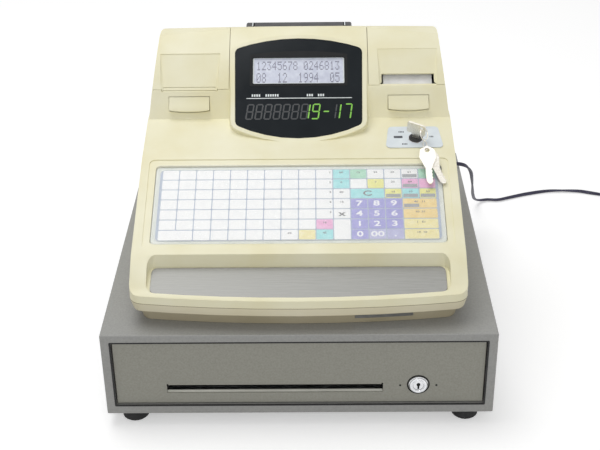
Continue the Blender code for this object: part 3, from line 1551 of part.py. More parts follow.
def spare_key_outline():
    # A plain key: a wide bow at the origin's side, its blade running down with four cuts on one side
    bow = spare_bow_radius
    half = spare_blade_width / 2
    blade_end = -bow * 1.7 - spare_blade_length
    points = [(-bow * 0.9, -bow * 0.45), (-half, -bow * 1.7), (-half, blade_end + half), (-half * 0.4, blade_end), (half * 0.4, blade_end)]
    cuts = 4
    pitch = spare_blade_length * 0.8 / cuts
    for i in range(cuts):
        y = blade_end + half + i * pitch
        points += [(half, y), (half - spare_tooth, y + pitch / 2)]
    points += [(half, -bow * 1.7), (bow * 0.9, -bow * 0.45), (bow * 0.75, bow * 0.55), (0, bow), (-bow * 0.75, bow * 0.55)]
    return points


def build_spare_keys():
    # Two keys that hang from the front of the ring and lean towards the keyboard
    deck = deck_frame()
    hole = ring_frame()[0]
    hang = spare_hole_radius - ring_wire - spare_slack
    for number, (angle, turn, tilt) in enumerate(zip(spare_angles, spare_turns, spare_tilts)):
        wire = deck.inverted() @ ring_point(angle)
        frame = deck @ Matrix.Translation(wire) @ Matrix.Rotation(turn, 4, "Z") @ Matrix.Rotation(tilt, 4, "X")
        frame = frame @ Matrix.Translation((0, -spare_hole_rise - hang, 0))
        circle = circle_points(0, spare_hole_rise, spare_hole_radius, small_round_steps)
        key = outline_solid("spare_key_%d" % (number + 1), spare_key_outline(), -spare_wall / 2, spare_wall / 2, frame, [circle])
        dress(key, "nickel", tuple(hole))


def build_customer_display():
    # A head that tilts on the two thin ears of a bracket on the rear wall
    rear = case_front + register_rear + seat_gap
    high = case_top + customer_top
    low = high - customer_height
    foot = high - bracket_height
    near = rear + bracket_wall + customer_gap
    far = near + customer_depth
    pivot_y = near + customer_depth / 2
    pivot_z = high - customer_pivot_drop
    half = customer_ear_half
    plate_y = rear + bracket_wall / 2
    bracket = box_solid("customer_bracket", (-bracket_half, rear, foot), (bracket_half, rear + bracket_wall, low - ear_gap))
    head = box_solid("customer_display", (-customer_half, near, low), (customer_half, far, high), sheet)
    outline = [(plate_y, foot + half), (pivot_y + half, low - 2 * half), (pivot_y + half, pivot_z + half),
               (pivot_y - half, pivot_z + half), (pivot_y - half, low - ear_gap), (plate_y, low - ear_gap)]
    outline = round_corners(outline, [0, half, half, half, half, 0])
    for number, side in enumerate((-1, 1)):
        ear_x = side * customer_ear_x
        wall = customer_ear_wall / 2
        slot = wall + seat_gap
        cut(head, box_solid("customer_slot_%d" % (number + 1), (ear_x - slot, near - overrun, low - overrun),
                            (ear_x + slot, pivot_y + half + customer_slot_gap, high + overrun)))
        ear = side_solid("customer_ear_%d" % (number + 1), outline, ear_x - wall, ear_x + wall)
        reach = wall + bracket_pin_depth
        pin = rod_solid("customer_pin_%d" % (number + 1), bracket_pin_radius, 2 * reach,
                        axis_frame((ear_x - reach, pivot_y, pivot_z), (1, 0, 0)), small_round_steps)
        join(bracket, ear, pin)
        reach += seat_gap
        cut(head, rod_solid("customer_socket_%d" % (number + 1), bracket_pin_radius + seat_gap, 2 * reach,
                            axis_frame((ear_x - reach, pivot_y, pivot_z), (1, 0, 0)), small_round_steps))
    dress(bracket, "black_plastic")
    dress(head, "black_plastic", (0, pivot_y, pivot_z))


def smooth_route(points, spacing):
    # Reads points at a steady spacing from a smooth curve through the route's points
    dense = []
    count = len(points)
    for i in range(count - 1):
        p0 = Vector(points[max(i - 1, 0)])
        p1 = Vector(points[i])
        p2 = Vector(points[i + 1])
        p3 = Vector(points[min(i + 2, count - 1)])
        for step in range(24):
            t = step / 24
            dense.append(0.5 * ((2 * p1) + (p2 - p0) * t + (2 * p0 - 5 * p1 + 4 * p2 - p3) * t * t
                                + (3 * p1 - p0 - 3 * p2 + p3) * t ** 3))
    dense.append(Vector(points[-1]))
    total = sum((b - a).length for a, b in zip(dense, dense[1:]))
    steps = max(2, round(total / spacing))
    result = [dense[0]]
    travelled = 0
    target = total / steps
    for a, b in zip(dense, dense[1:]):
        travelled += (b - a).length
        if travelled >= target * len(result) and len(result) < steps:
            result.append(b)
    result.append(dense[-1])
    return result, total


def coil_points():
    # One unbroken spiral: in on the lower layer, up in the half turn where it reverses, out on the upper layer
    layer = 2 * cord_radius + (coil_pitch - 2 * cord_radius)
    steps = int(coil_layer_turns * coil_points_per_turn)
    low = cord_radius + coil_lift
    points = []
    outer = coil_inner_radius + coil_pitch * coil_layer_turns
    for i in range(2 * steps + 1):
        turn = i / coil_points_per_turn
        angle = -math.pi / 2 + 2 * math.pi * turn
        inward = min(turn, 2 * coil_layer_turns - turn)
        radius = outer - coil_pitch * inward
        climb = min(1, max(0, (turn - coil_layer_turns + 0.25) / 0.5))
        z = low + layer * (climb * climb * (3 - 2 * climb))
        points.append(Vector((coil_x + radius * math.cos(angle), coil_y + radius * math.sin(angle), z)))
    return points, low, layer


def least_gap(points, skip):
    # Least clearance of a tube to itself, measured on its points
    best = None
    for i in range(len(points)):
        for j in range(i + skip, len(points)):
            distance = (points[i] - points[j]).length
            if best is None or distance < best:
                best = distance
    return best - 2 * cord_radius


def build_cord():
    start_y = case_front + register_rear
    z = bushing_z()
    profile = [(0, bushing_length), (bushing_tip_radius, bushing_length), (bushing_radius, seat_gap), (bushing_radius, -base_wall), (0, -base_wall)]
    bushing = turned_solid("cord_bushing", profile, axis_frame((bushing_x, start_y, z), (0, 1, 0)))
    dress(bushing, "black_rubber")
    route = cord_route()
    points, length = smooth_route(route, cord_radius * 5)
    dress(tube_solid("power_cord", points, cord_radius), "cord_blue")
    turns, low, layer = coil_points()
    lead_in = [turns[0] + Vector((-2 * cord_radius, 0, 0))]
    plug_z = plug_height / 2
    tail = turns[-1] + Vector((tail_length - 2 * cord_radius, 0, 0))
    tail.z = plug_z
    middle = (turns[-1] + tail) / 2
    lead_out = [turns[-1] + Vector((2 * cord_radius, 0, 0)), middle, tail, tail + Vector((2 * cord_radius, 0, 0))]
    coil = lead_in + turns + lead_out
    dress(tube_solid("cord_coil", coil, cord_radius, 1), "cord_blue")
    coil_length = sum((b - a).length for a, b in zip(coil, coil[1:]))
    print("free cord %.3f m, coil %.3f m, least gap of the coil to itself %.2f mm"
          % (length, coil_length, 1000 * least_gap(turns, coil_points_per_turn // 2)))
    build_tie(low, layer)
    build_plug(lead_out[-1])


def cord_route():
    # The route's points, chosen by hand, from the strain relief to the coil
    start = (bushing_x, case_front + register_rear + bushing_length + seat_gap, bushing_z())
    turns, low, layer = coil_points()
    end = turns[0] + Vector((-2 * cord_radius - seat_gap, 0, 0))
    straight = (start[0], start[1] + 4 * cord_radius, start[2])
    return [start, straight, (0.1528, 0.1790, 0.1285), (0.1640, 0.1875, 0.1243), (0.1791, 0.1860, 0.1220),
            (0.1931, 0.1764, 0.1230), (0.2061, 0.1698, 0.1243), (0.2182, 0.1733, 0.1193), (0.2273, 0.1880, 0.1034),
            (0.2329, 0.2074, 0.0806), (0.2373, 0.2278, 0.0573), (0.2418, 0.2512, 0.0350), (0.2477, 0.2722, 0.0159),
            (0.2569, 0.2873, 0.0053), (0.2701, 0.2936, 0.0029), (0.2853, 0.2929, 0.0028), (0.3037, 0.3001, 0.0028),
            (0.3318, 0.3109, 0.0028), (0.3663, 0.3196, 0.0028), (0.4040, 0.3184, 0.0028), (0.4268, 0.3109, 0.0028),
            (0.4493, 0.3024, 0.0028), (0.4697, 0.2959, 0.0030), (0.4900, end.y, end.z), tuple(end)]


def build_tie(low, layer):
    # A strap round the coil's turns, on the side away from the plug
    reach = cord_radius + seat_gap
    slant = coil_pitch * tie_width / coil_inner_radius / 4
    inner = math.sqrt((coil_inner_radius - reach - slant) ** 2 - tie_width ** 2 / 4)
    outer = coil_inner_radius + coil_pitch * (coil_layer_turns - 0.5) + reach + slant
    z_low = low - reach
    z_high = low + layer + reach
    wall = tie_wall
    outline = round_corners([(coil_y + inner - wall, z_low - wall), (coil_y + outer + wall, z_low - wall),
                             (coil_y + outer + wall, z_high + wall), (coil_y + inner - wall, z_high + wall)], 2 * wall, 2)
    hole = round_corners([(coil_y + inner, z_low), (coil_y + outer, z_low), (coil_y + outer, z_high), (coil_y + inner, z_high)], wall, 2)
    tie = outline_solid("cord_tie", outline, coil_x - tie_width / 2, coil_x + tie_width / 2, side_frame(), [hole])
    dress(tie, "black_rubber")


def build_plug(cord_end):
    near = cord_end.x + seat_gap
    y = cord_end.y
    z = plug_height / 2
    body = box_solid("mains_plug", (near, y - plug_width / 2, 0), (near + plug_length, y + plug_width / 2, plug_height), plug_edge)
    for number, side in enumerate((-1, 1)):
        blade_y = y + side * blade_spacing / 2
        join(body, box_solid("plug_blade_%d" % (number + 1), (near + plug_length - plug_edge, blade_y - blade_wall / 2, z - blade_width / 2),
                             (near + plug_length + blade_length, blade_y + blade_wall / 2, z + blade_width / 2)))
    dress(body, "black_plastic")


start_scene()
paints = finishes()
build_case()
build_runners()
build_drawer_front()
build_pan()
build_lock()
build_tray()
build_release()
build_base_shell()
build_top_shell()
build_palm_plate()
build_keyboard()
build_display()
for cover_side in (-1, 1):
    build_cover(cover_side)
    build_lever(cover_side)
    build_mechanism(cover_side)
build_receipt_paper()
build_mode_switch()
build_key_ring()
build_spare_keys()
build_customer_display()
build_cord()
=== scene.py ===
import bpy
import bmesh
import math
from mathutils import Matrix, Vector


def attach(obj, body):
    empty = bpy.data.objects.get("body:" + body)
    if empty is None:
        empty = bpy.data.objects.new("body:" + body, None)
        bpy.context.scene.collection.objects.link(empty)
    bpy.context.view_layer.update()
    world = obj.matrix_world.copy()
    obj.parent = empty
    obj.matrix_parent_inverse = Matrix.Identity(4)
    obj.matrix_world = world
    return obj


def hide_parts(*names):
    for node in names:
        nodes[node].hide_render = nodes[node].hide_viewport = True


# Looks of a ticket register on its cash drawer; lengths are in metres, +Y is the rear
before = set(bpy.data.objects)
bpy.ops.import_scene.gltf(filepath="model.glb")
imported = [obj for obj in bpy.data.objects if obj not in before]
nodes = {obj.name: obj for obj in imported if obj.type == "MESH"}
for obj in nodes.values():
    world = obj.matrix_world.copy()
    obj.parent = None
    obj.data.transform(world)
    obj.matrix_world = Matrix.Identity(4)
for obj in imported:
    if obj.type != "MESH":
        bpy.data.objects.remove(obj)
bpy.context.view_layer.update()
print("frame loaded:", len(nodes), "nodes")

# Faces of the upper shell, as (y, rise above the case) of their lower and upper edges
caseTop = 0.1185
shell = {
    "keys": ((-0.157, 0.064), (-0.037, 0.118)),
    "deck": ((-0.037, 0.118), (0.030, 0.137)),
    "tower": ((-0.009, 0.126), (0.105, 0.2218)),
}


def slopeFrame(face):
    # Frame on one of the shell's faces: X across, Y up the slope, Z out of it
    (lowY, lowRise), (highY, highRise) = shell[face]
    up = Vector((0, highY - lowY, highRise - lowRise)).normalized()
    across = Vector((1, 0, 0))
    turn = Matrix((across, up, across.cross(up))).transposed().to_4x4()
    return Matrix.Translation((0, lowY, caseTop + lowRise)) @ turn


def linear(hexColour, alpha=1.0):
    # sRGB hex to Blender's linear colour
    values = [int(hexColour[i:i + 2], 16) / 255 for i in (1, 3, 5)]
    return tuple(v / 12.92 if v <= 0.04045 else ((v + 0.055) / 1.055) ** 2.4 for v in values) + (alpha,)


def node(tree, kind, settings=None, links=None):
    # Adds a shader node with its settings and links; stops are a ramp's places and hex colours
    made = tree.nodes.new("ShaderNode" + kind)
    for key, value in (settings or {}).items():
        if key == "stops":
            elements = made.color_ramp.elements
            while len(elements) < len(value):
                elements.new(0.5)
            for element, (place, colour) in zip(elements, value):
                element.position = place
                element.color = linear(colour)
        elif isinstance(key, int) or key in made.inputs:
            made.inputs[key].default_value = value
        else:
            setattr(made, key, value)
    for key, source in (links or {}).items():
        tree.links.new(source, made.inputs[key])
    return made


def newMaterial(name, look):
    # A Principled surface from a look: colour, roughness and whatever else the stuff needs
    material = bpy.data.materials.new(name)
    material.use_nodes = True
    tree = material.node_tree
    shader = tree.nodes["Principled BSDF"]
    shader.inputs["Base Color"].default_value = linear(look["colour"])
    shader.inputs["Roughness"].default_value = look["roughness"]
    shader.inputs["Metallic"].default_value = look.get("metallic", 0.0)
    for key, value in look.get("extra", {}).items():
        shader.inputs[key].default_value = value
    return material, tree, shader


# How every finish varies: where its tones sit in the noise, and how far its gloss strays
variation = {
    "low": 0.30, "middle": 0.50, "metalMiddle": 0.52, "high": 0.72, "band": (0.3, 0.7), "glossShare": 0.4,
    "duller": 0.06, "shinier": 0.05, "metalDuller": 0.08, "metalShinier": 0.06, "grain": 0.4,
    "metalGrain": 0.3,
}


def tones(look, middle="middle"):
    # Shade, colour and light of a look, with their places along the noise
    return [(variation["low"], look["shade"]), (variation[middle], look["colour"]),
            (variation["high"], look["light"])]


def mottled(name, look):
    # Plastic, rubber or paint: colour that drifts slowly, a fine grain in relief and uneven gloss
    material, tree, shader = newMaterial(name, look)
    place = node(tree, "TexCoord").outputs["Object"]
    drift = node(tree, "TexNoise", {"Scale": 1000 / look["driftMm"], "Detail": 4}, {"Vector": place})
    colour = node(tree, "ValToRGB", {"stops": tones(look)}, {"Fac": drift.outputs["Fac"]})
    grain = node(tree, "TexNoise", {"Scale": 1000 / look["grainMm"], "Detail": 2}, {"Vector": place})
    strength = look.get("grainStrength", variation["grain"])
    relief = node(tree, "Bump", {"Strength": strength, "Distance": look["grainDepthMm"] / 1000},
                  {"Height": grain.outputs["Fac"]})
    wear = node(tree, "TexNoise", {"Scale": 1000 / (look["driftMm"] * variation["glossShare"]), "Detail": 3},
                {"Vector": place})
    low, high = variation["band"]
    gloss = node(tree, "MapRange", {"From Min": low, "From Max": high,
                                    "To Min": look["roughness"] - variation["shinier"],
                                    "To Max": look["roughness"] + variation["duller"]},
                 {"Value": wear.outputs["Fac"]})
    tree.links.new(colour.outputs["Color"], shader.inputs["Base Color"])
    tree.links.new(relief.outputs["Normal"], shader.inputs["Normal"])
    tree.links.new(gloss.outputs["Result"], shader.inputs["Roughness"])
    return material


def brushedMetal(name, look):
    # Metal with fine lines along one way, which stretch the highlight
    material, tree, shader = newMaterial(name, look)
    place = node(tree, "Mapping", {"Scale": look["stretch"]},
                 {"Vector": node(tree, "TexCoord").outputs["Object"]})
    lines = node(tree, "TexNoise", {"Scale": 1000 / look["lineMm"], "Detail": 3, "Roughness": 0.6},
                 {"Vector": place.outputs["Vector"]}).outputs["Fac"]
    colour = node(tree, "ValToRGB", {"stops": tones(look, "metalMiddle")}, {"Fac": lines})
    low, high = variation["band"]
    gloss = node(tree, "MapRange", {"From Min": low, "From Max": high,
                                    "To Min": look["roughness"] - variation["metalShinier"],
                                    "To Max": look["roughness"] + variation["metalDuller"]}, {"Value": lines})
    relief = node(tree, "Bump", {"Strength": variation["metalGrain"], "Distance": look["lineDepthMm"] / 1000},
                  {"Height": lines})
    tree.links.new(colour.outputs["Color"], shader.inputs["Base Color"])
    tree.links.new(gloss.outputs["Result"], shader.inputs["Roughness"])
    tree.links.new(relief.outputs["Normal"], shader.inputs["Normal"])
    return material


# Injection-moulded ABS, aged: warm cream that drifts a little yellower, fine spark-eroded grain, soft gloss
creamAbs = mottled("mouldedCreamAbs", {
    "colour": "#EEE9C8", "shade": "#EAE3BC", "light": "#F2EED2", "roughness": 0.46, "driftMm": 60,
    "grainMm": 0.9, "grainDepthMm": 0.05, "grainStrength": 0.25, "extra": {"IOR": 1.53}})


def creamOverShadedTan(name, upper, lower):
    # Cream above a moulded step and a darker tan below it, partly the plastic's own tone and partly painted
    # shade under the flange, both drifting as the plain plastics do
    material, tree, shader = newMaterial(name, upper)
    place = node(tree, "TexCoord").outputs["Object"]
    drift = node(tree, "TexNoise", {"Scale": 1000 / upper["driftMm"], "Detail": 4},
                 {"Vector": place}).outputs["Fac"]
    pale = node(tree, "ValToRGB", {"stops": tones(upper)}, {"Fac": drift})
    dark = node(tree, "ValToRGB", {"stops": tones(lower)}, {"Fac": drift})
    parts = node(tree, "SeparateXYZ", links={0: place})
    above = node(tree, "Math", {"operation": "GREATER_THAN", 1: caseTop + lower["topRise"]},
                 {0: parts.outputs["Z"]})
    mixed = node(tree, "MixRGB", links={"Fac": above.outputs[0], "Color1": dark.outputs["Color"],
                                        "Color2": pale.outputs["Color"]})
    grain = node(tree, "TexNoise", {"Scale": 1000 / upper["grainMm"], "Detail": 2}, {"Vector": place})
    relief = node(tree, "Bump",
                  {"Strength": upper["grainStrength"], "Distance": upper["grainDepthMm"] / 1000},
                  {"Height": grain.outputs["Fac"]})
    tree.links.new(mixed.outputs[0], shader.inputs["Base Color"])
    tree.links.new(relief.outputs["Normal"], shader.inputs["Normal"])
    return material


# Lower shell: cream down to the step under its flange, a darker tan on the part that meets the case, partly
# its own tone and partly painted shade under the flange
creamAndShadedTanAbs = creamOverShadedTan("mouldedCreamAndTanAbsWithPaintedShade", {
    "colour": "#E2DABD", "shade": "#DDD4B4", "light": "#E7E0C6", "roughness": 0.48, "driftMm": 60,
    "grainMm": 0.9, "grainDepthMm": 0.05, "grainStrength": 0.25, "extra": {"IOR": 1.53}}, {
    "colour": "#B9AF93", "shade": "#B0A689", "light": "#C0B79D", "topRise": 0.0165})
# Black moulded ABS, for the cash tray, switch barrel and display housings
blackAbs = mottled("mouldedBlackAbs", {
    "colour": "#1B1B1F", "shade": "#141417", "light": "#242429", "roughness": 0.42, "driftMm": 30,
    "grainMm": 0.8, "grainDepthMm": 0.05, "extra": {"IOR": 1.53}})
# Stove-enamelled sheet steel: mid grey with a light orange-peel skin
enamelGrey = mottled("stoveEnamelledGreySteel", {
    "colour": "#9B9B98", "shade": "#959592", "light": "#A1A19E", "roughness": 0.46, "driftMm": 2.0,
    "grainMm": 1.5, "grainDepthMm": 0.10, "grainStrength": 0.8, "extra": {"IOR": 1.5}})
# The drawer front's own enamel, a little darker and warmer
enamelFront = mottled("stoveEnamelledOliveSteel", {
    "colour": "#95948A", "shade": "#8F8E83", "light": "#9B9A90", "roughness": 0.48, "driftMm": 2.0,
    "grainMm": 1.5, "grainDepthMm": 0.10, "grainStrength": 0.8, "extra": {"IOR": 1.5}})
# Moulded natural rubber: near black, dull, fine grain; also the painted shadow of the gap round the drawer
# opening
blackRubberAndGapShadow = mottled("mouldedBlackRubberAndGapShadow", {
    "colour": "#1A1A1B", "shade": "#131314", "light": "#232324", "roughness": 0.75, "driftMm": 14,
    "grainMm": 0.7, "grainDepthMm": 0.06, "extra": {"IOR": 1.52}})
# Turned nylon: milky white, soft gloss
turnedNylon = mottled("turnedWhiteNylon", {
    "colour": "#E4E2D8", "shade": "#DBD8CC", "light": "#EDEBE3", "roughness": 0.42, "driftMm": 8,
    "grainMm": 0.6, "grainDepthMm": 0.03, "extra": {"IOR": 1.53}})
# Screen-printed polyester sheet of the membrane keyboard: pale blue-grey where no key is printed
membrane = mottled("printedPolyesterSheet", {
    "colour": "#A3B2CC", "shade": "#9BABC6", "light": "#ACBAD2", "roughness": 0.38, "driftMm": 20,
    "grainMm": 0.8, "grainDepthMm": 0.02, "extra": {"IOR": 1.6}})
# Glass-fibre board with green solder resist
fr4Board = mottled("etchedGlassFibreBoard", {
    "colour": "#1F5B36", "shade": "#18492B", "light": "#2A6C42", "roughness": 0.35, "driftMm": 6,
    "grainMm": 0.9, "grainDepthMm": 0.03, "extra": {"IOR": 1.55}})
# Wound thermal paper: white, dull, fine fibres
thermalPaper = mottled("coatedThermalPaper", {
    "colour": "#F1F1F0", "shade": "#E9E9E8", "light": "#F6F6F6", "roughness": 0.85, "driftMm": 10,
    "grainMm": 0.5, "grainDepthMm": 0.02, "extra": {"IOR": 1.45}})
# Enamelled aluminium plate of the key switch: pale blue-grey
switchPlate = mottled("enamelledAluminiumPlate", {
    "colour": "#DCE4E9", "shade": "#D4DCE2", "light": "#E4EBEF", "roughness": 0.42, "driftMm": 18,
    "grainMm": 0.8, "grainDepthMm": 0.02, "extra": {"IOR": 1.5}})
# Extruded flexible PVC of the flat mains flex: blue-black
flexPvc = mottled("extrudedBluePvc", {
    "colour": "#26233F", "shade": "#1D1A33", "light": "#302D4C", "roughness": 0.38, "driftMm": 12,
    "grainMm": 0.8, "grainDepthMm": 0.03, "extra": {"IOR": 1.53}})
# Zinc-plated rolled steel: bluish grey, faint rolling lines
zincSteel = brushedMetal("zincPlatedRolledSteel", {
    "colour": "#B4B7BB", "shade": "#A2A6AB", "light": "#C4C7CA", "roughness": 0.36, "metallic": 1.0,
    "lineMm": 2.0, "lineDepthMm": 0.02, "stretch": (0.1, 1, 1)})
# Brushed stainless plate: long scratches across the register
brushedSteel = brushedMetal("brushedStainlessSteel", {
    "colour": "#8E8E8B", "shade": "#838380", "light": "#9A9A97", "roughness": 0.54, "metallic": 1.0,
    "lineMm": 1.0, "lineDepthMm": 0.006, "stretch": (0.03, 1, 1)})
# Chromed zinc casting: bright, with faint wear
chromedZinc = brushedMetal("chromedZincCasting", {
    "colour": "#E2E3E6", "shade": "#D3D4D8", "light": "#EDEDEF", "roughness": 0.12, "metallic": 1.0,
    "lineMm": 3.0, "lineDepthMm": 0.01, "stretch": (1, 1, 1)})
# Nickel-plated brass keys: warm silver, rubbed
nickelBrass = brushedMetal("nickelPlatedBrass", {
    "colour": "#E6E2D8", "shade": "#D6D0C4", "light": "#F2EFE8", "roughness": 0.34, "metallic": 1.0,
    "lineMm": 1.5, "lineDepthMm": 0.01, "stretch": (1, 1, 1)})
# Smoked acrylic of the display window: almost black, polished
smokedAcrylic = mottled("polishedSmokedAcrylic", {
    "colour": "#1B2024", "shade": "#181D21", "light": "#1E2327", "roughness": 0.16, "driftMm": 40,
    "grainMm": 2.0, "grainDepthMm": 0.005, "extra": {"IOR": 1.49, "Specular IOR Level": 0.12}})


# White backing film of the membrane board, seen as a pale rim through the cover
backingFilm = mottled("whitePolyesterBacking", {
    "colour": "#E9EDE6", "shade": "#E2E7DF", "light": "#F0F3EE", "roughness": 0.45, "driftMm": 20,
    "grainMm": 0.8, "grainDepthMm": 0.02, "extra": {"IOR": 1.6}})


# The slot lip's enamel is the front's own, painted brighter as a highlight where the fold catches the light
slotLipPaintedHighlight = mottled("stoveEnamelledSlotLipPaintedHighlight", {
    "colour": "#BDBDB3", "shade": "#B5B5AB", "light": "#C6C6BC", "roughness": 0.42, "driftMm": 30,
    "grainMm": 1.3, "grainDepthMm": 0.05, "grainStrength": 0.35, "extra": {"IOR": 1.5}})

# Painted shadow for the dark gap in the parting line: a dull brown-dark strip
seamPaintedShadow = mottled("paintedSeamShadow", {
    "colour": "#8A8064", "shade": "#7E7459", "light": "#968C70", "roughness": 0.65, "driftMm": 12,
    "grainMm": 0.8, "grainDepthMm": 0.02, "extra": {"IOR": 1.52}})

# Rolled aluminium foil: soft silver with faint lines along it
foil = brushedMetal("rolledAluminiumFoil", {
    "colour": "#A9AAAA", "shade": "#9C9D9D", "light": "#B8B9B9", "roughness": 0.42, "metallic": 1.0,
    "lineMm": 1.0, "lineDepthMm": 0.005, "stretch": (0.05, 1, 1)})

# Vacuum-formed clear PVC over the keys: passes the light; the milky look of its thick rim comes from the
# white backing film seen through it
clearLook = {
    "colour": "#FAFBF8", "roughness": 0.20, "extra": {"IOR": 1.49, "Alpha": 0.16}, "waveMm": 14,
    "waveDepthMm": 0.3, "waveStrength": 0.2, "wearMm": 3, "glossLow": 0.12, "glossHigh": 0.24,
}


def clearSheet():
    look = clearLook
    material, tree, shader = newMaterial("vacuumFormedClearPvc", look)
    place = node(tree, "TexCoord").outputs["Object"]
    wave = node(tree, "TexNoise", {"Scale": 1000 / look["waveMm"], "Detail": 2}, {"Vector": place})
    relief = node(tree, "Bump", {"Strength": look["waveStrength"], "Distance": look["waveDepthMm"] / 1000},
                  {"Height": wave.outputs["Fac"]})
    wear = node(tree, "TexNoise", {"Scale": 1000 / look["wearMm"], "Detail": 3}, {"Vector": place})
    low, high = variation["band"]
    gloss = node(tree, "MapRange", {"From Min": low, "From Max": high, "To Min": look["glossLow"],
                                    "To Max": look["glossHigh"]}, {"Value": wear.outputs["Fac"]})
    tree.links.new(relief.outputs["Normal"], shader.inputs["Normal"])
    tree.links.new(gloss.outputs["Result"], shader.inputs["Roughness"])
    return material


clearPvc = clearSheet()

finishOfNode = {
    "drawer_case": enamelGrey, "drawer_front": enamelFront, "drawer_pan": zincSteel, "cash_tray": blackAbs,
    "lock_housing": chromedZinc, "lock_plug": chromedZinc, "lock_cam": zincSteel,
    "release_solenoid": zincSteel, "release_latch": zincSteel, "base_shell": creamAndShadedTanAbs,
    "main_board": fr4Board, "power_unit": zincSteel, "top_shell": creamAbs, "palm_plate": brushedSteel,
    "keyboard_board": backingFilm, "key_sheet": membrane, "keyboard_cover": clearPvc,
    "display_window": smokedAcrylic, "lcd_module": membrane, "digit_display": fr4Board,
    "journal_cover": creamAbs, "receipt_cover": creamAbs, "journal_lever": creamAbs,
    "receipt_lever": creamAbs, "journal_printer": zincSteel, "receipt_printer": zincSteel,
    "journal_platen": blackRubberAndGapShadow, "receipt_platen": blackRubberAndGapShadow, "journal_roll": thermalPaper,
    "take_up_spool": blackAbs, "receipt_roll": thermalPaper, "receipt_paper": thermalPaper,
    "mode_plate": switchPlate, "mode_barrel": blackAbs, "mode_plug": blackAbs, "mode_key": nickelBrass,
    "key_ring": nickelBrass, "spare_key_1": nickelBrass, "spare_key_2": nickelBrass,
    "customer_bracket": blackAbs, "customer_display": blackAbs, "cord_bushing": blackRubberAndGapShadow,
    "cord_tie": blackRubberAndGapShadow, "mains_plug": blackAbs, "power_cord": flexPvc, "cord_coil": flexPvc,
}
for name, item in nodes.items():
    kind = name.split("_")[0]
    finish = {"foot": blackRubberAndGapShadow, "runner": zincSteel, "roller": turnedNylon, "note": blackAbs}.get(kind)
    item.data.materials.clear()
    item.data.materials.append(finishOfNode.get(name, finish))
print("materials ready")

# Edge radii that the moulds and the press leave, in metres
edgeRadius = {
    "top_shell": 0.0008, "base_shell": 0.0010, "journal_cover": 0.0007, "receipt_cover": 0.0007,
    "journal_lever": 0.0006, "receipt_lever": 0.0006, "drawer_case": 0.0005, "drawer_front": 0.0004,
    "palm_plate": 0.0003, "keyboard_cover": 0.0004, "mode_barrel": 0.0004, "customer_display": 0.0010,
    "customer_bracket": 0.0006, "mains_plug": 0.0005, "spare_key_1": 0.0003,
    "spare_key_2": 0.0003, "mode_key": 0.0003,
}
rounding = {"weld": 0.00001, "flatDegrees": 0.5, "edgeDegrees": 30, "segments": 2}


def roundEdges(item, radius):
    # Merges the flat facets, rounds the edges between them and keeps the faces flat
    weld = item.modifiers.new("weld", "WELD")
    weld.merge_threshold = rounding["weld"]
    flat = item.modifiers.new("mergeFlat", "DECIMATE")
    flat.decimate_type = "DISSOLVE"
    flat.angle_limit = math.radians(rounding["flatDegrees"])
    edge = item.modifiers.new("edge", "BEVEL")
    edge.width = radius
    edge.segments = rounding["segments"]
    edge.limit_method = "ANGLE"
    edge.angle_limit = math.radians(rounding["edgeDegrees"])
    edge.miter_outer = "MITER_ARC"
    item.modifiers.new("evenShade", "WEIGHTED_NORMAL").keep_sharp = False


for name, radius in edgeRadius.items():
    roundEdges(nodes[name], radius)
print("edges rounded")


camera = {
    "place": (0.0182, -1.2553, caseTop + 0.7237), "pitchDown": 29.6, "yawRight": -0.83, "roll": -0.81,
    "focalPixels": 1204, "imageWidth": 600, "sensorWidth": 36,
}


def addCamera():
    data = bpy.data.cameras.new("photoCamera")
    data.sensor_width = camera["sensorWidth"]
    data.lens = camera["focalPixels"] * camera["sensorWidth"] / camera["imageWidth"]
    item = bpy.data.objects.new("photoCamera", data)
    bpy.context.scene.collection.objects.link(item)
    turn = Matrix.Rotation(math.radians(-camera["yawRight"]), 4, "Z")
    turn = turn @ Matrix.Rotation(math.radians(90 - camera["pitchDown"]), 4, "X")
    turn = turn @ Matrix.Rotation(math.radians(camera["roll"]), 4, "Z")
    item.matrix_world = Matrix.Translation(camera["place"]) @ turn
    bpy.context.scene.camera = item
    bpy.context.scene.view_settings.view_transform = "Standard"


studio = {
    "floorHalf": 6.0, "floorColour": "#E8E8E8", "floorRoughness": 0.9, "floorGlow": 0.40, "white": "#FFFFFF",
    "world": 0.47,
    "lamps": [
        {"name": "topSoftbox", "place": (-0.5, 0.3, 2.2), "aim": (0, 0, 0.1), "size": 1.5, "power": 19},
        {"name": "frontFill", "place": (0.4, -2.2, 1.3), "aim": (0, 0, 0.15), "size": 1.6, "power": 9},
    ],
}


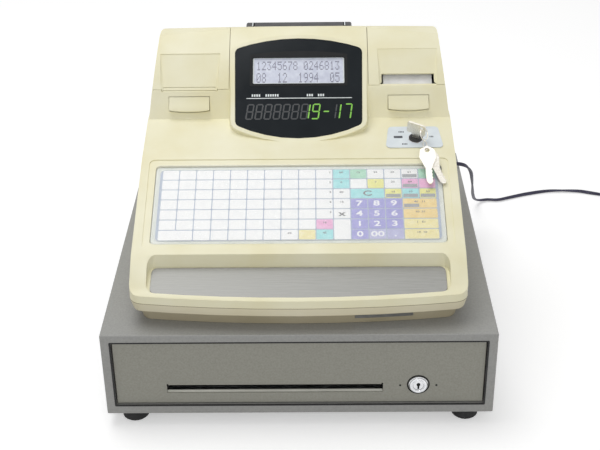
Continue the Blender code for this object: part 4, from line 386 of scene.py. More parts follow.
def addStudio():
    # A pale floor that shows white to the camera and keeps the shadow, a white world and two soft lamps
    size = studio["floorHalf"]
    mesh = bpy.data.meshes.new("studioFloor")
    mesh.from_pydata([(-size, -size, 0), (size, -size, 0), (size, size, 0), (-size, size, 0)], [],
                     [(0, 1, 2, 3)])
    floor = bpy.data.objects.new("studioFloor", mesh)
    bpy.context.scene.collection.objects.link(floor)
    material = bpy.data.materials.new("paintedFloor")
    material.use_nodes = True
    tree = material.node_tree
    shader = tree.nodes["Principled BSDF"]
    shader.inputs["Base Color"].default_value = linear(studio["floorColour"])
    shader.inputs["Roughness"].default_value = studio["floorRoughness"]
    shader.inputs["Specular IOR Level"].default_value = 0.0
    seen = seenDirectly(tree)
    glow = node(tree, "Math", {"operation": "MULTIPLY", 1: studio["floorGlow"]}, {0: seen})
    shader.inputs["Emission Color"].default_value = linear(studio["white"])
    tree.links.new(glow.outputs[0], shader.inputs["Emission Strength"])
    mesh.materials.append(material)
    world = bpy.data.worlds.new("studioWorld")
    bpy.context.scene.world = world
    world.use_nodes = True
    tree = world.node_tree
    background = tree.nodes["Background"]
    background.inputs["Color"].default_value = linear(studio["white"])
    strength = node(tree, "MapRange", {"To Min": studio["world"], "To Max": 1.0},
                    {"Value": seenDirectly(tree)})
    tree.links.new(strength.outputs["Result"], background.inputs["Strength"])
    for lamp in studio["lamps"]:
        data = bpy.data.lights.new(lamp["name"], "AREA")
        data.shape = "DISK"
        data.size = lamp["size"]
        data.energy = lamp["power"]
        item = bpy.data.objects.new(lamp["name"], data)
        bpy.context.scene.collection.objects.link(item)
        away = Vector(lamp["aim"]) - Vector(lamp["place"])
        item.matrix_world = Matrix.Translation(lamp["place"]) @ away.to_track_quat("-Z",
                                                                                   "Y").to_matrix().to_4x4()


def seenDirectly(tree):
    # 1 for what the camera, a reflection or a clear piece shows
    path = node(tree, "LightPath")
    first = node(tree, "Math", {"operation": "ADD"},
                 {0: path.outputs["Is Camera Ray"], 1: path.outputs["Is Glossy Ray"]})
    both = node(tree, "Math", {"operation": "ADD", "use_clamp": True},
                {0: first.outputs[0], 1: path.outputs["Is Transmission Ray"]})
    return both.outputs[0]


addCamera()
addStudio()
print("camera, floor and lamps ready")


# Flat twin mains flex, from the bushing at the rear to the coil out of view
cord = {
    "width": 0.005, "thickness": 0.0029, "twist": 1.5, "coreSteps": 6, "waist": 0.62, "spacing": 0.004,
    "route": [(0.150, 0.1563, 0.1313), (0.150, 0.1663, 0.1313), (0.1528, 0.1790, 0.1285),
              (0.1640, 0.1875, 0.1243), (0.1791, 0.1860, 0.1220), (0.1931, 0.1764, 0.1230),
              (0.2061, 0.1698, 0.1243), (0.2182, 0.1733, 0.1193), (0.2273, 0.1880, 0.1034),
              (0.2329, 0.2074, 0.0806), (0.2373, 0.2278, 0.0573), (0.2418, 0.2512, 0.0350),
              (0.2477, 0.2722, 0.0159), (0.2569, 0.2873, 0.0053), (0.2701, 0.2936, 0.0029),
              (0.2853, 0.2929, 0.0028), (0.3037, 0.3001, 0.0028), (0.3318, 0.3109, 0.0028),
              (0.3663, 0.3196, 0.0028), (0.4040, 0.3184, 0.0028), (0.4268, 0.3109, 0.0028),
              (0.4493, 0.3024, 0.0028), (0.4697, 0.2959, 0.0030)],
    "coilX": 0.515, "coilY": 0.332, "coilInner": 0.0205, "coilPitch": 0.0055, "coilTurns": 3.5,
    "coilLift": 0.0013, "coilSteps": 24, "approachX": 0.4900,
    "tail": 0.034, "plugHeight": 0.0135,
}


def smoothThrough(points, spacing, steps=24):
    # Even points along a smooth curve through the given ones
    dense = []
    for i in range(len(points) - 1):
        p0, p1, p2, p3 = (Vector(points[min(max(k, 0), len(points) - 1)]) for k in (i - 1, i, i + 1, i + 2))
        for step in range(steps):
            t = step / steps
            dense.append(0.5 * (2 * p1 + (p2 - p0) * t + (2 * p0 - 5 * p1 + 4 * p2 - p3) * t * t
                                + (3 * p1 - p0 - 3 * p2 + p3) * t ** 3))
    dense.append(Vector(points[-1]))
    result = [dense[0]]
    for point in dense[1:-1]:
        if (point - result[-1]).length >= spacing:
            result.append(point)
    if (dense[-1] - result[-1]).length < spacing * 0.5:
        result.pop()
    return result + [dense[-1]]


def coilPoints():
    # In on the lower layer, up in the half turn where it reverses, out on the upper layer
    radius = cord["width"] / 2
    turns = cord["coilTurns"]
    outer = cord["coilInner"] + cord["coilPitch"] * turns
    steps = int(turns * cord["coilSteps"])
    points = []
    for i in range(2 * steps + 1):
        turn = i / cord["coilSteps"]
        angle = -math.pi / 2 + 2 * math.pi * turn
        reach = outer - cord["coilPitch"] * min(turn, 2 * turns - turn)
        climb = min(1, max(0, (turn - turns + 0.25) / 0.5))
        z = radius + cord["coilLift"] + cord["coilPitch"] * climb * climb * (3 - 2 * climb)
        points.append(Vector((cord["coilX"] + reach * math.cos(angle),
                              cord["coilY"] + reach * math.sin(angle), z)))
    return points


def cordLine():
    # The free stretch, the coil and the tail to the plug, as one line
    radius = cord["width"] / 2
    coil = coilPoints()
    leadIn = coil[0] - Vector((2 * radius, 0, 0))
    free = cord["route"] + [(cord["approachX"], leadIn.y, leadIn.z), tuple(leadIn)]
    tailEnd = coil[-1] + Vector((cord["tail"] - 2 * radius, 0, 0))
    tailEnd.z = cord["plugHeight"] / 2
    tail = [(coil[-1] + tailEnd) / 2, tailEnd, tailEnd + Vector((2 * radius, 0, 0))]
    freeLine = smoothThrough(free, cord["spacing"])
    return freeLine + coil + [coil[-1] + Vector((2 * radius, 0, 0))] + tail, len(freeLine)


def flexMesh(name, line, freeCount):
    # Twin flex: two round cores side by side in one skin, twisted where it lies free and flat in the coil
    section = []
    half = cord["width"] / 2
    core = cord["thickness"] / 2
    steps = cord["coreSteps"]
    for side in (1, -1):
        for k in range(steps + 1):
            angle = side * -math.pi / 2 + math.pi * k / steps
            section.append((side * (half - core) + core * math.cos(angle), core * math.sin(angle)))
    waist = core * cord["waist"]
    section = section[:steps + 1] + [(0, waist)] + section[steps + 1:] + [(0, -waist)]
    shape = bmesh.new()
    rings = []
    up = Vector((0, 0, 1))
    for i, point in enumerate(line):
        ahead = (line[min(i + 1, len(line) - 1)] - line[max(i - 1, 0)]).normalized()
        side = ahead.cross(up).normalized() if abs(ahead.z) < 0.98 else Vector((1, 0, 0))
        top = side.cross(ahead).normalized()
        share = min(1, i / freeCount)
        angle = cord["twist"] * 2 * math.pi * math.sin(math.pi * share) * (1 if i < freeCount else 0)
        across = side * math.cos(angle) + top * math.sin(angle)
        over = top * math.cos(angle) - side * math.sin(angle)
        rings.append([shape.verts.new(point + across * x + over * y) for x, y in section])
    for a, b in zip(rings, rings[1:]):
        for k in range(len(section)):
            shape.faces.new((a[k], a[(k + 1) % len(section)], b[(k + 1) % len(section)], b[k]))
    shape.faces.new(rings[0][::-1])
    shape.faces.new(rings[-1])
    bmesh.ops.recalc_face_normals(shape, faces=shape.faces)
    return meshPiece(name, shape, flexPvc, True)


def meshPiece(name, shape, material, smooth=False):
    # Turns a bmesh into an object of the scene
    mesh = bpy.data.meshes.new(name)
    shape.to_mesh(mesh)
    shape.free()
    mesh.materials.append(material)
    if smooth:
        mesh.shade_smooth()
        mesh.set_sharp_from_angle(angle=math.radians(40))
    item = bpy.data.objects.new(name, mesh)
    bpy.context.scene.collection.objects.link(item)
    return item


def addCord():
    line, freeCount = cordLine()
    flex = flexMesh("mains_flex", [Vector(p) for p in line], freeCount)
    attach(flex, "register")
    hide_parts("power_cord", "cord_coil")


# How far a printed or set-in piece reaches into the face under it, and how bold figures are drawn
sunk = 0.0001
boldShare = 0.02
mergeDistance = 0.000001
upright = Matrix.Rotation(math.radians(90), 4, "X")   # stands a flat shape up to face the front


def roundedOutline(x0, x1, y0, y1, corner, steps=3):
    # Corner points of a rounded rectangle, counter-clockwise
    points = []
    corners = ((x1 - corner, y0 + corner, -90), (x1 - corner, y1 - corner, 0),
               (x0 + corner, y1 - corner, 90), (x0 + corner, y0 + corner, 180))
    for cx, cy, start in corners:
        for k in range(steps + 1):
            angle = math.radians(start + 90 * k / steps)
            points.append((cx + corner * math.cos(angle), cy + corner * math.sin(angle)))
    return points


def addPrism(shape, outline, low, high, slot=0, place=None, edge=0.0):
    # Draws an outline out between two heights, its top edge chamfered where asked
    middleX = sum(x for x, y in outline) / len(outline)
    middleY = sum(y for x, y in outline) / len(outline)
    reach = max(max(abs(x - middleX) for x, y in outline), edge)
    reachY = max(max(abs(y - middleY) for x, y in outline), edge)
    levels = [(low, 0.0), (high - edge, 0.0)]
    if edge:
        levels.append((high, edge))
    rings = []
    for height, inset in levels:
        ring = []
        for x, y in outline:
            point = Vector((middleX + (x - middleX) * (1 - inset / reach),
                            middleY + (y - middleY) * (1 - inset / reachY), height))
            ring.append(shape.verts.new(place @ point if place is not None else point))
        rings.append(ring)
    count = len(outline)
    made = [shape.faces.new(rings[0][::-1]), shape.faces.new(rings[-1])]
    for a, b in zip(rings, rings[1:]):
        made += [shape.faces.new((a[k], a[(k + 1) % count], b[(k + 1) % count], b[k])) for k in range(count)]
    for face in made:
        face.material_index = slot


def addText(shape, text, size, place, depth, slot=0, wide=1.0):
    # Plain printed figures, centred on the place and a hair thick
    curve = bpy.data.curves.new("figures", "FONT")
    curve.body = text
    curve.size = size
    curve.align_x = "CENTER"
    curve.align_y = "CENTER"
    curve.extrude = depth / 2
    curve.resolution_u = 3
    curve.offset = size * boldShare
    item = bpy.data.objects.new("figures", curve)
    bpy.context.scene.collection.objects.link(item)
    bpy.context.view_layer.update()
    mesh = bpy.data.meshes.new_from_object(item.evaluated_get(bpy.context.evaluated_depsgraph_get()))
    mesh.transform(place @ Matrix.Diagonal((wide, 1, 1, 1)))
    before = len(shape.faces)
    shape.from_mesh(mesh)
    shape.faces.ensure_lookup_table()
    for face in shape.faces[before:]:
        face.material_index = slot
    bpy.data.objects.remove(item)
    bpy.data.meshes.remove(mesh)


def finishPiece(name, shape, finishesUsed, body, smooth=False):
    # Turns the shape into a piece that rides on its body
    bmesh.ops.remove_doubles(shape, verts=shape.verts, dist=mergeDistance)
    bmesh.ops.recalc_face_normals(shape, faces=shape.faces)
    item = meshPiece(name, shape, finishesUsed[0], smooth)
    for material in finishesUsed[1:]:
        item.data.materials.append(material)
    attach(item, body)
    return item


def printed(name, colour, light, shade, roughness=0.34):
    # Screen-printed polyester: even ink with a faint mottle, under a satin skin
    return mottled(name,
                   {"colour": colour, "shade": shade, "light": light, "roughness": roughness, "driftMm": 6,
                          "grainMm": 0.7, "grainDepthMm": 0.01, "extra": {"IOR": 1.6}})


# Keys: seven rows of sixteen printed fields; a dash joins a field to its left one, a bar to the one above
keyboard = {
    "columns": 16, "pitch": 0.01905, "rowPitch": 0.01385, "firstRow": 0.0203, "low": -0.00232,
    "high": -0.00208, "gap": 0.0011, "corner": 0.0012, "edge": 0.00012, "figureDepth": 0.00006,
    "bandShare": 0.36, "bandInset": 0.0009,
    "rows": ["WWWWWWWWWWCGWWwG", "WWWWWWWWWWCWYWpP", "WWWWWWWWWWWC-ycy", "WWWWWWWWWWWVVVo-",
             "WWWWWWWWWWWVVVO-", "WWWWWWWWWPWVVVB-", "W-WWWWWWBC|VLLB-"],
    "figures": {(3, 11): "7", (3, 12): "8", (3, 13): "9", (4, 11): "4", (4, 12): "5", (4, 13): "6",
                (5, 11): "1", (5, 12): "2", (5, 13): "3", (6, 11): "0", (6, 12): "00", (6, 13): ".",
                (4, 10): "x", (2, 11): "C"},
    "figureSize": 0.0098, "figureWide": 1.5, "printSize": 0.0034, "printWide": 1.3, "printShare": 0.66,
    "printed": {(0, 10): "00", (0, 11): "12", (0, 12): "34", (0, 13): "50", (0, 14): "61", (1, 10): "0",
                (1, 12): "7", (1, 13): "20", (1, 14): "84", (2, 10): "80", (2, 13): "15", (2, 14): "10",
                (2, 15): "30", (3, 10): "10", (3, 14): "40   11", (4, 14): "10  51", (5, 14): "1   51",
                (6, 14): "10  10", (5, 9): "16", (6, 9): "45", (6, 7): "60", (0, 9): "1", (1, 9): "2",
                (2, 9): "3", (3, 9): "4", (4, 9): "5"},
    "printShift": {9: 0.0065},
}
# Screen inks of the key sheet: flat, even colours under a satin skin
keyInks = {
    "W": ("whiteKeyInk", "#FDFDFE", "#FFFFFF", "#F8F9FB"),
    "C": ("cyanKeyInk", "#8FE4E8", "#A2EDF0", "#82DBE0"),
    "G": ("greenKeyInk", "#9FDEC0", "#B0E8CD", "#90D4B2"),
    "Y": ("yellowKeyInk", "#F3F07C", "#F8F590", "#EAE76C"),
    "P": ("pinkKeyInk", "#F2A7DA", "#F8BAE3", "#EA98CF"),
    "V": ("violetKeyInk", "#8E8ADC", "#9D99E6", "#817DD0"),
    "L": ("lavenderKeyInk", "#B4B4E2", "#C2C2EA", "#A8A8D8"),
    "O": ("orangeKeyInk", "#F8DA7C", "#FCE492", "#F0CF6C"),
    "B": ("paleYellowKeyInk", "#F8ECA2", "#FCF3B8", "#F0E392"),
}
bandInk = printed("greyBandInk", "#8A8F96", "#949AA0", "#80858C")
figureInk = printed("darkFigureInk", "#32323C", "#3C3C46", "#2A2A33")
letterOrder = "WCGYPVLOB"
whiteFigureInk = printed("whiteFigureInk", "#FDFDFF", "#FFFFFF", "#F2F2FA")
inks = [printed(*keyInks[letter]) for letter in letterOrder] + [bandInk, figureInk, whiteFigureInk]


def addKeys():
    shape = bmesh.new()
    face = slopeFrame("keys")
    look = keyboard
    rows = look["rows"]
    left = -look["columns"] / 2 * look["pitch"]
    for row, letters in enumerate(rows):
        for column, letter in enumerate(letters):
            if letter in "-|":
                continue
            wide = 1
            while column + wide < look["columns"] and letters[column + wide] == "-":
                wide += 1
            tall = 2 if row + 1 < len(rows) and rows[row + 1][column] == "|" else 1
            x0 = left + column * look["pitch"] + look["gap"] / 2
            x1 = left + (column + wide) * look["pitch"] - look["gap"] / 2
            y1 = look["firstRow"] + (len(rows) - row) * look["rowPitch"] - look["gap"] / 2
            y0 = look["firstRow"] + (len(rows) - row - tall) * look["rowPitch"] + look["gap"] / 2
            ink = letterOrder.index(letter.upper())
            addPrism(shape, roundedOutline(x0, x1, y0, y1, look["corner"]), look["low"], look["high"], ink,
                     face, look["edge"])
            top = look["high"] + look["figureDepth"]
            if letter.islower():
                inset = look["bandInset"]
                far = x1 if wide == 1 else (x0 + x1) / 2
                band = roundedOutline(x0 + inset, far - inset, y0 + inset,
                                      y0 + inset + (y1 - y0) * look["bandShare"], inset / 3)
                addPrism(shape, band, look["high"] - look["figureDepth"], top, len(letterOrder), face)
            figure = look["figures"].get((row, column))
            if figure:
                place = face @ Matrix.Translation(((x0 + x1) / 2, (y0 + y1) / 2, look["high"]))
                ink = len(letterOrder) + (2 if letter in "VL" else 1)
                addText(shape, figure, look["figureSize"], place, look["figureDepth"] * 2, ink,
                        look["figureWide"])
            small = look["printed"].get((row, column))
            if small:
                across = (x0 + x1) / 2 + look["printShift"].get(column, 0) * (letter == "W")
                place = face @ Matrix.Translation((across, y0 + (y1 - y0) * look["printShare"], look["high"]))
                addText(shape, small, look["printSize"], place, look["figureDepth"] * 2,
                        len(letterOrder) + 1, look["printWide"])
    return finishPiece("key_fields", shape, inks, "register")


# Display tower: recess round the LCD, its characters, a printed rule and the green figures
display = {
    "recessHalf": 0.0571, "recessLow": 0.0705, "recessSide": 0.1120, "recessTop": 0.1165,
    "recessHigh": 0.00022, "lcdHalf": 0.0535, "lcdLow": 0.0738, "lcdHigh": 0.1080, "lcdFace": -0.0024,
    "bezelWide": 0.0014, "bezelHigh": 0.0012,
    "cells": 16, "cellPitch": 0.00615, "dotPitch": 0.00098, "dotGap": 0.00018, "dotHigh": 0.00008,
    "lines": [("12345678 0246813", 0.0926, 0.00165), ("08  12  1994  05", 0.0762, 0.00185)],
    "ruleLeft": -0.0607, "ruleRight": 0.0620, "ruleAt": 0.0548, "ruleHalf": 0.00045,
    "marks": [(-0.0545, -0.0440), (-0.0385, -0.0240), (0.0095, 0.0150), (0.0225, 0.0280)],
    "markLow": 0.0570, "markPitch": 0.0027, "markShare": 0.62, "markHigh": 0.0030,
    "figureLow": 0.0275, "figureHigh": 0.0475, "bar": 0.0016, "slant": 0.14, "raise": 0.00016,
    "lit": [(0.0070, 0.0116, "1"), (0.0139, 0.0231, "9"), (0.0262, 0.0350, "-"), (0.0450, 0.0474, "1"),
            (0.0509, 0.0601, "7")],
    "dark": [(-0.0620 + 0.0105 * k, -0.0535 + 0.0105 * k, "8") for k in range(7)] + [(0.0375, 0.0425, "1")],
}
# Five by seven dot patterns of the ten figures, one number of five bits for each row
dotFigures = {
    "0": (14, 17, 19, 21, 25, 17, 14), "1": (4, 12, 4, 4, 4, 4, 14), "2": (14, 17, 1, 2, 4, 8, 31),
    "3": (31, 2, 4, 2, 1, 17, 14), "4": (2, 6, 10, 18, 31, 2, 2), "5": (31, 16, 30, 1, 1, 17, 14),
    "6": (6, 8, 16, 30, 17, 17, 14), "7": (31, 1, 2, 4, 8, 8, 8), "8": (14, 17, 17, 14, 17, 17, 14),
    "9": (14, 17, 17, 15, 1, 2, 12),
}
# Which of the seven bars each figure lights: top, upper left and right, middle, lower left and right, bottom
segmentBars = {
    "0": "1110111", "1": "0010010", "2": "1011101", "3": "1011011", "4": "0111010", "5": "1101011",
    "6": "1101111", "7": "1010010", "8": "1111111", "9": "1111011", "-": "0001000",
}


def barFigure(shape, figure, x0, x1, y0, y1, bar, low, high, slot, place, slant=0.0):
    # A seven-bar figure with mitred ends, each bar a flat prism
    gap = bar * 0.10
    half = bar / 2
    if figure == "1":
        x0 = x1 - bar * 2.2
    middle = (y0 + y1) / 2
    left, right = x0 + half, x1 - half
    bottom, top = y0 + half, y1 - half
    ends = [(left, top, right, top), (left, middle, left, top), (right, middle, right, top),
            (left, middle, right, middle), (left, bottom, left, middle), (right, bottom, right, middle),
            (left, bottom, right, bottom)]
    for lit, (ax, ay, bx, by) in zip(segmentBars[figure], ends):
        if lit == "0":
            continue
        if ay == by:
            ax, bx = ax + gap, bx - gap
            outline = [(ax, ay), (ax + half, ay - half), (bx - half, ay - half), (bx, ay),
                       (bx - half, ay + half), (ax + half, ay + half)]
        else:
            ay, by = ay + gap, by - gap
            outline = [(ax, ay), (ax + half, ay + half), (ax + half, by - half), (ax, by),
                       (ax - half, by - half), (ax - half, ay + half)]
        outline = [(x + slant * (y - y0), y) for x, y in outline]
        addPrism(shape, outline, low, high, slot, place)


# Matt black moulding round the LCD, white ink that also paints the LCD bevel's highlight, a lit bar's green
# glow, unlit bars, the LCD's cell with a faint painted glow, and its dots
mattBlackAndPaintedShade = mottled("mattBlackMouldingAndPaintedShade", {
    "colour": "#0D0F11", "shade": "#0B0D0F", "light": "#101214", "roughness": 0.50, "driftMm": 20,
    "grainMm": 0.8, "grainDepthMm": 0.02, "extra": {"IOR": 1.5, "Specular IOR Level": 0.2}})
# White screen ink of the print, also used for the painted highlight on the LCD's bevel
whiteInkAndPaintedHighlight = printed("whiteScreenInkAndPaintedHighlight", "#E6ECEC", "#F2F6F6", "#D8DFDF")
litGreen = printed("litGreenBar", "#5E9A2A", "#6BAA30", "#528A24")
unlitBar = printed("unlitBar", "#1D2226", "#20262A", "#1A1F23")
lcdCellPaintedGlow = printed("reflectiveLcdCellPaintedGlow", "#C6CAD8", "#D0D4E0", "#BCC0D0", 0.22)
lcdDot = printed("lcdDotInk", "#6C6C82", "#76768C", "#626278", 0.30)
# The lit bars glow as lit figures do; the reflective LCD cell's faint glow is painted light
for glow, colour, strength in ((litGreen, "#82C838", 0.35), (lcdCellPaintedGlow, "#CBD1E5", 0.10)):
    shader = glow.node_tree.nodes["Principled BSDF"]
    shader.inputs["Emission Color"].default_value = linear(colour)
    shader.inputs["Emission Strength"].default_value = strength
nodes["lcd_module"].data.materials[0] = lcdCellPaintedGlow


def arched(half, low, side, top, corner, steps=12):
    # Outline with rounded lower corners and an arched top
    points = roundedOutline(-half, half, low, side, corner)
    lower = [p for p in points if p[1] < (low + side) / 2]
    right = [p for p in lower if p[0] > 0]
    left = [p for p in lower if p[0] < 0]
    arch = []
    for k in range(steps + 1):
        x = half * (1 - 2 * k / steps)
        arch.append((x, top - (top - side) * (x / half) ** 2))
    return left + right + arch


def addDisplay():
    look = display
    face = slopeFrame("tower")
    frameShape = bmesh.new()
    outer = arched(look["recessHalf"], look["recessLow"], look["recessSide"], look["recessTop"], 0.002)
    inner = roundedOutline(-look["lcdHalf"], look["lcdHalf"], look["lcdLow"], look["lcdHigh"], 0.0012)
    addRing(frameShape, outer, inner, -sunk, look["recessHigh"], face)
    finishPiece("display_recess", frameShape, [mattBlackAndPaintedShade], "register")
    # Pale ring round the LCD's edge: a painted highlight where its bevel catches the light
    bezel = bmesh.new()
    wide = look["bezelWide"]
    inside = roundedOutline(-look["lcdHalf"] + wide, look["lcdHalf"] - wide, look["lcdLow"] + wide,
                            look["lcdHigh"] - wide / 4, 0.0012)
    addRing(bezel, inner, inside, look["lcdFace"] - 0.00002, look["lcdFace"] + look["bezelHigh"], face)
    finishPiece("lcd_bevel_painted_highlight", bezel, [whiteInkAndPaintedHighlight], "register")
    shape = bmesh.new()
    dots = bmesh.new()
    left = -look["cells"] / 2 * look["cellPitch"]
    for text, base, rowPitch in look["lines"]:
        for cell, letter in enumerate(text):
            for row, bits in enumerate(dotFigures.get(letter, ())):
                for column in range(5):
                    if bits >> (4 - column) & 1:
                        x = left + cell * look["cellPitch"] + column * look["dotPitch"]
                        y = base + (6 - row) * rowPitch
                        gap = look["dotGap"]
                        outline = [(x, y), (x + look["dotPitch"] - gap, y),
                                   (x + look["dotPitch"] - gap, y + rowPitch - gap), (x, y + rowPitch - gap)]
                        addPrism(dots, outline, look["lcdFace"] - 0.00002, look["lcdFace"] + look["dotHigh"],
                                 0, face)
    finishPiece("lcd_characters", dots, [lcdDot], "register")
    high = look["raise"]
    rule = roundedOutline(look["ruleLeft"], look["ruleRight"], look["ruleAt"] - look["ruleHalf"],
                          look["ruleAt"] + look["ruleHalf"], look["ruleHalf"] * 0.9)
    addPrism(shape, rule, -sunk, high, 0, face)
    for x0, x1 in look["marks"]:
        x = x0
        while x < x1:
            outline = roundedOutline(x, x + look["markPitch"] * look["markShare"], look["markLow"],
                                     look["markLow"] + look["markHigh"], 0.0002)
            addPrism(shape, outline, -sunk, high, 0, face)
            x += look["markPitch"]
    for slot, group in ((1, look["lit"]), (2, look["dark"])):
        for x0, x1, figure in group:
            barFigure(shape, figure, x0, x1, look["figureLow"], look["figureHigh"], look["bar"], -sunk, high,
                      slot, face, look["slant"])
    finishPiece("display_print", shape, [whiteInkAndPaintedHighlight, litGreen, unlitBar], "register")


def rayEnd(outline, centre, angle):
    # Where a ray from the centre leaves the outline
    cx, cy = centre
    dx, dy = math.cos(angle), math.sin(angle)
    best = 0.0
    for (ax, ay), (bx, by) in zip(outline, outline[1:] + outline[:1]):
        ex, ey = bx - ax, by - ay
        cross = dx * ey - dy * ex
        if abs(cross) < 1e-12:
            continue
        t = ((ax - cx) * ey - (ay - cy) * ex) / cross
        u = ((ax - cx) * dy - (ay - cy) * dx) / cross
        if t > 0 and -1e-9 <= u <= 1 + 1e-9:
            best = max(best, t)
    return cx + dx * best, cy + dy * best


def addRing(shape, outer, inner, low, high, place, slot=0, steps=72):
    # A flat plate with a hole: both outlines are walked by the angle round the hole's middle
    cx = sum(x for x, y in inner) / len(inner)
    cy = sum(y for x, y in inner) / len(inner)
    angles = sorted({2 * math.pi * k / steps for k in range(steps)}
                    | {math.atan2(y - cy, x - cx) % (2 * math.pi) for x, y in outer + inner})
    rings = []
    for outline in (outer, inner):
        for height in (low, high):
            rings.append([shape.verts.new(place @ Vector((*rayEnd(outline, (cx, cy), a), height)))
                          for a in angles])
    outLow, outHigh, inLow, inHigh = rings
    count = len(angles)
    for a, b in ((outLow, outHigh), (outHigh, inHigh), (inHigh, inLow), (inLow, outLow)):
        for k in range(count):
            n = (k + 1) % count
            shape.faces.new((a[k], a[n], b[n], b[k])).material_index = slot


# Drawer front: flap over the slip slot, its folded lower lip with a painted highlight, dark and bright rings
# round the lock, and a painted-shadow rim round the opening
drawerTrim = {
    "faceY": -0.2125, "slotLeft": -0.143, "slotRight": 0.090, "slotLow": 0.0415, "slotHigh": 0.0535,
    "endNotch": 0.0014, "flapDrop": 0.0014, "lipRise": 0.0033, "wall": 0.0012, "back": 0.0002,
    "lockX": 0.128, "lockZ": 0.0515,
    "rings": [(0.0122, 0.0108, 0.0004, 0), (0.0098, 0.0086, 0.0026, 1), (0.0074, 0.0064, 0.0027, 1)],
    "pins": [0.1085, 0.1475], "pinRadius": 0.0011,
    "gap": 0.0002, "shoulder": 0.7, "roundShare": 0.2, "pinHigh": 0.0003, "pinDrop": 0.001,
    "holeFace": -0.2145, "holeRadius": 0.0021, "holeSlot": (0.0009, 0.0048), "holeRise": 0.0010,
    "holeDeep": 0.0003, "holeProud": 0.0001,
    "gapShadowWide": 0.0013, "gapShadowFront": -0.21518, "gapShadowRear": -0.2140,
    "openingHalf": 0.1995, "openingLow": 0.0270, "openingHigh": 0.1085,
}


def addDrawerTrim():
    look = drawerTrim
    shape = bmesh.new()
    place = Matrix.Translation((0, look["faceY"] + look["back"], 0)) @ upright
    gap = look["gap"]
    left, right = look["slotLeft"] + gap, look["slotRight"] - gap
    flap = [(left + look["endNotch"], look["slotHigh"] + gap),
            (left + look["endNotch"], look["slotHigh"] - look["flapDrop"]),
            (right - look["endNotch"], look["slotHigh"] - look["flapDrop"]),
            (right - look["endNotch"], look["slotHigh"] + gap)]
    addPrism(shape, flap, -look["wall"], 0.0, 0, place)
    low = look["slotLow"] - gap
    lip = [(left, low), (right, low), (right, low + look["lipRise"]), (left, low + look["lipRise"])]
    # The folded lower lip, painted brighter as the highlight of the fold
    addPrism(shape, lip, -look["wall"] * 2, -look["wall"], 1, place)
    finishPiece("slot_trim", shape, [enamelFront, slotLipPaintedHighlight], "drawer")
    shape = bmesh.new()
    for outerRadius, innerRadius, proud, slot in look["rings"]:
        place = Matrix.Translation((look["lockX"], look["faceY"], look["lockZ"])) @ upright
        shoulder, fall = proud * look["shoulder"], proud * look["roundShare"]
        section = [(outerRadius, -sunk), (outerRadius, shoulder), (outerRadius - fall, proud),
                   (innerRadius + fall, proud), (innerRadius, shoulder), (innerRadius, -sunk)]
        turned(shape, section, place, slot)
    for x in look["pins"]:
        place = Matrix.Translation((x, look["faceY"], look["lockZ"] - look["pinDrop"])) @ upright
        radius, high = look["pinRadius"], look["pinHigh"]
        turned(shape, [(radius, -sunk), (radius, high), (high, high), (high, -sunk)], place, 0)
    finishPiece("lock_trim", shape, [mattBlackAndPaintedShade, chromedZinc], "drawer", True)


def addLockDetail():
    # Dark keyhole on the plug, painted as the shade inside the hole, and a thin dark rim of painted shadow
    # that stands for the gap round the drawer front
    look = drawerTrim
    shape = bmesh.new()
    # The keyhole's dark is painted shade of the hole in the plug
    place = Matrix.Translation((look["lockX"], look["holeFace"], look["lockZ"])) @ upright
    half, drop = look["holeSlot"]
    outline = [(look["holeRadius"] * math.sin(math.radians(a)),
                look["holeRadius"] * math.cos(math.radians(a)) + look["holeRise"])
               for a in range(-150, 151, 15)]
    outline += [(half, -drop), (-half, -drop)]
    addPrism(shape, outline[::-1], -look["holeDeep"], look["holeProud"], 0, place)
    finishPiece("lock_keyhole_painted_shade", shape, [mattBlackAndPaintedShade], "drawer_lock")
    # Thin dark rim round the drawer's opening: painted shadow of the gap there
    shape = bmesh.new()
    half, low, high, wide = look["openingHalf"], look["openingLow"], look["openingHigh"], look["gapShadowWide"]
    outer = roundedOutline(-half - wide, half + wide, low - wide, high + wide, wide)
    inner = roundedOutline(-half + wide / 4, half - wide / 4, low + wide / 4, high - wide / 4, wide / 2)
    addRing(shape, outer, inner, -look["gapShadowRear"], -look["gapShadowFront"], upright)
    finishPiece("opening_gap_painted_shadow", shape, [blackRubberAndGapShadow], "register")


# Strip in the parting line of the two shells: painted shadow that stands for the dark gap there
seam = {"low": 0.14535, "high": 0.14590, "proud": 0.0001, "wall": 0.004, "band": 0.0003}


def hullOf(points):
    # Convex outline of flat points, counter-clockwise
    points = sorted(set(points))
    halves = []
    for line in (points, points[::-1]):
        chain = []
        for p in line:
            while len(chain) > 1 and ((chain[-1][0] - chain[-2][0]) * (p[1] - chain[-2][1])
                                      - (chain[-1][1] - chain[-2][1]) * (p[0] - chain[-2][0])) <= 0:
                chain.pop()
            chain.append(p)
        halves += chain[:-1]
    return halves


def grown(outline, by):
    # An outline that is even about the middle, made wider or narrower all round
    middleY = sum(y for x, y in outline) / len(outline)
    halfX = max(x for x, y in outline)
    halfY = (max(y for x, y in outline) - min(y for x, y in outline)) / 2
    return [(x * (1 + by / halfX), middleY + (y - middleY) * (1 + by / halfY)) for x, y in outline]


def addSeamShadow():
    look = seam
    places = [v.co for v in nodes["base_shell"].data.vertices]
    top = max(p.z for p in places)
    outline = hullOf([(round(p.x, 5), round(p.y, 5)) for p in places if p.z > top - look["band"]])
    shape = bmesh.new()
    addRing(shape, grown(outline, look["proud"]), grown(outline, -look["wall"]), look["low"], look["high"],
            Matrix())
    finishPiece("shell_seam_painted_shadow", shape, [seamPaintedShadow], "register")


# Bare foil strip on the front of the lower shell, bent along its bow
foilStrip = {
    "left": 0.0597, "right": 0.1217, "lowRise": 0.0066, "highRise": 0.0118, "frontY": -0.1970,
    "bowRadius": 1.2, "lean": 0.1875, "stepRise": 0.016, "proud": 0.00025, "steps": 12,
}


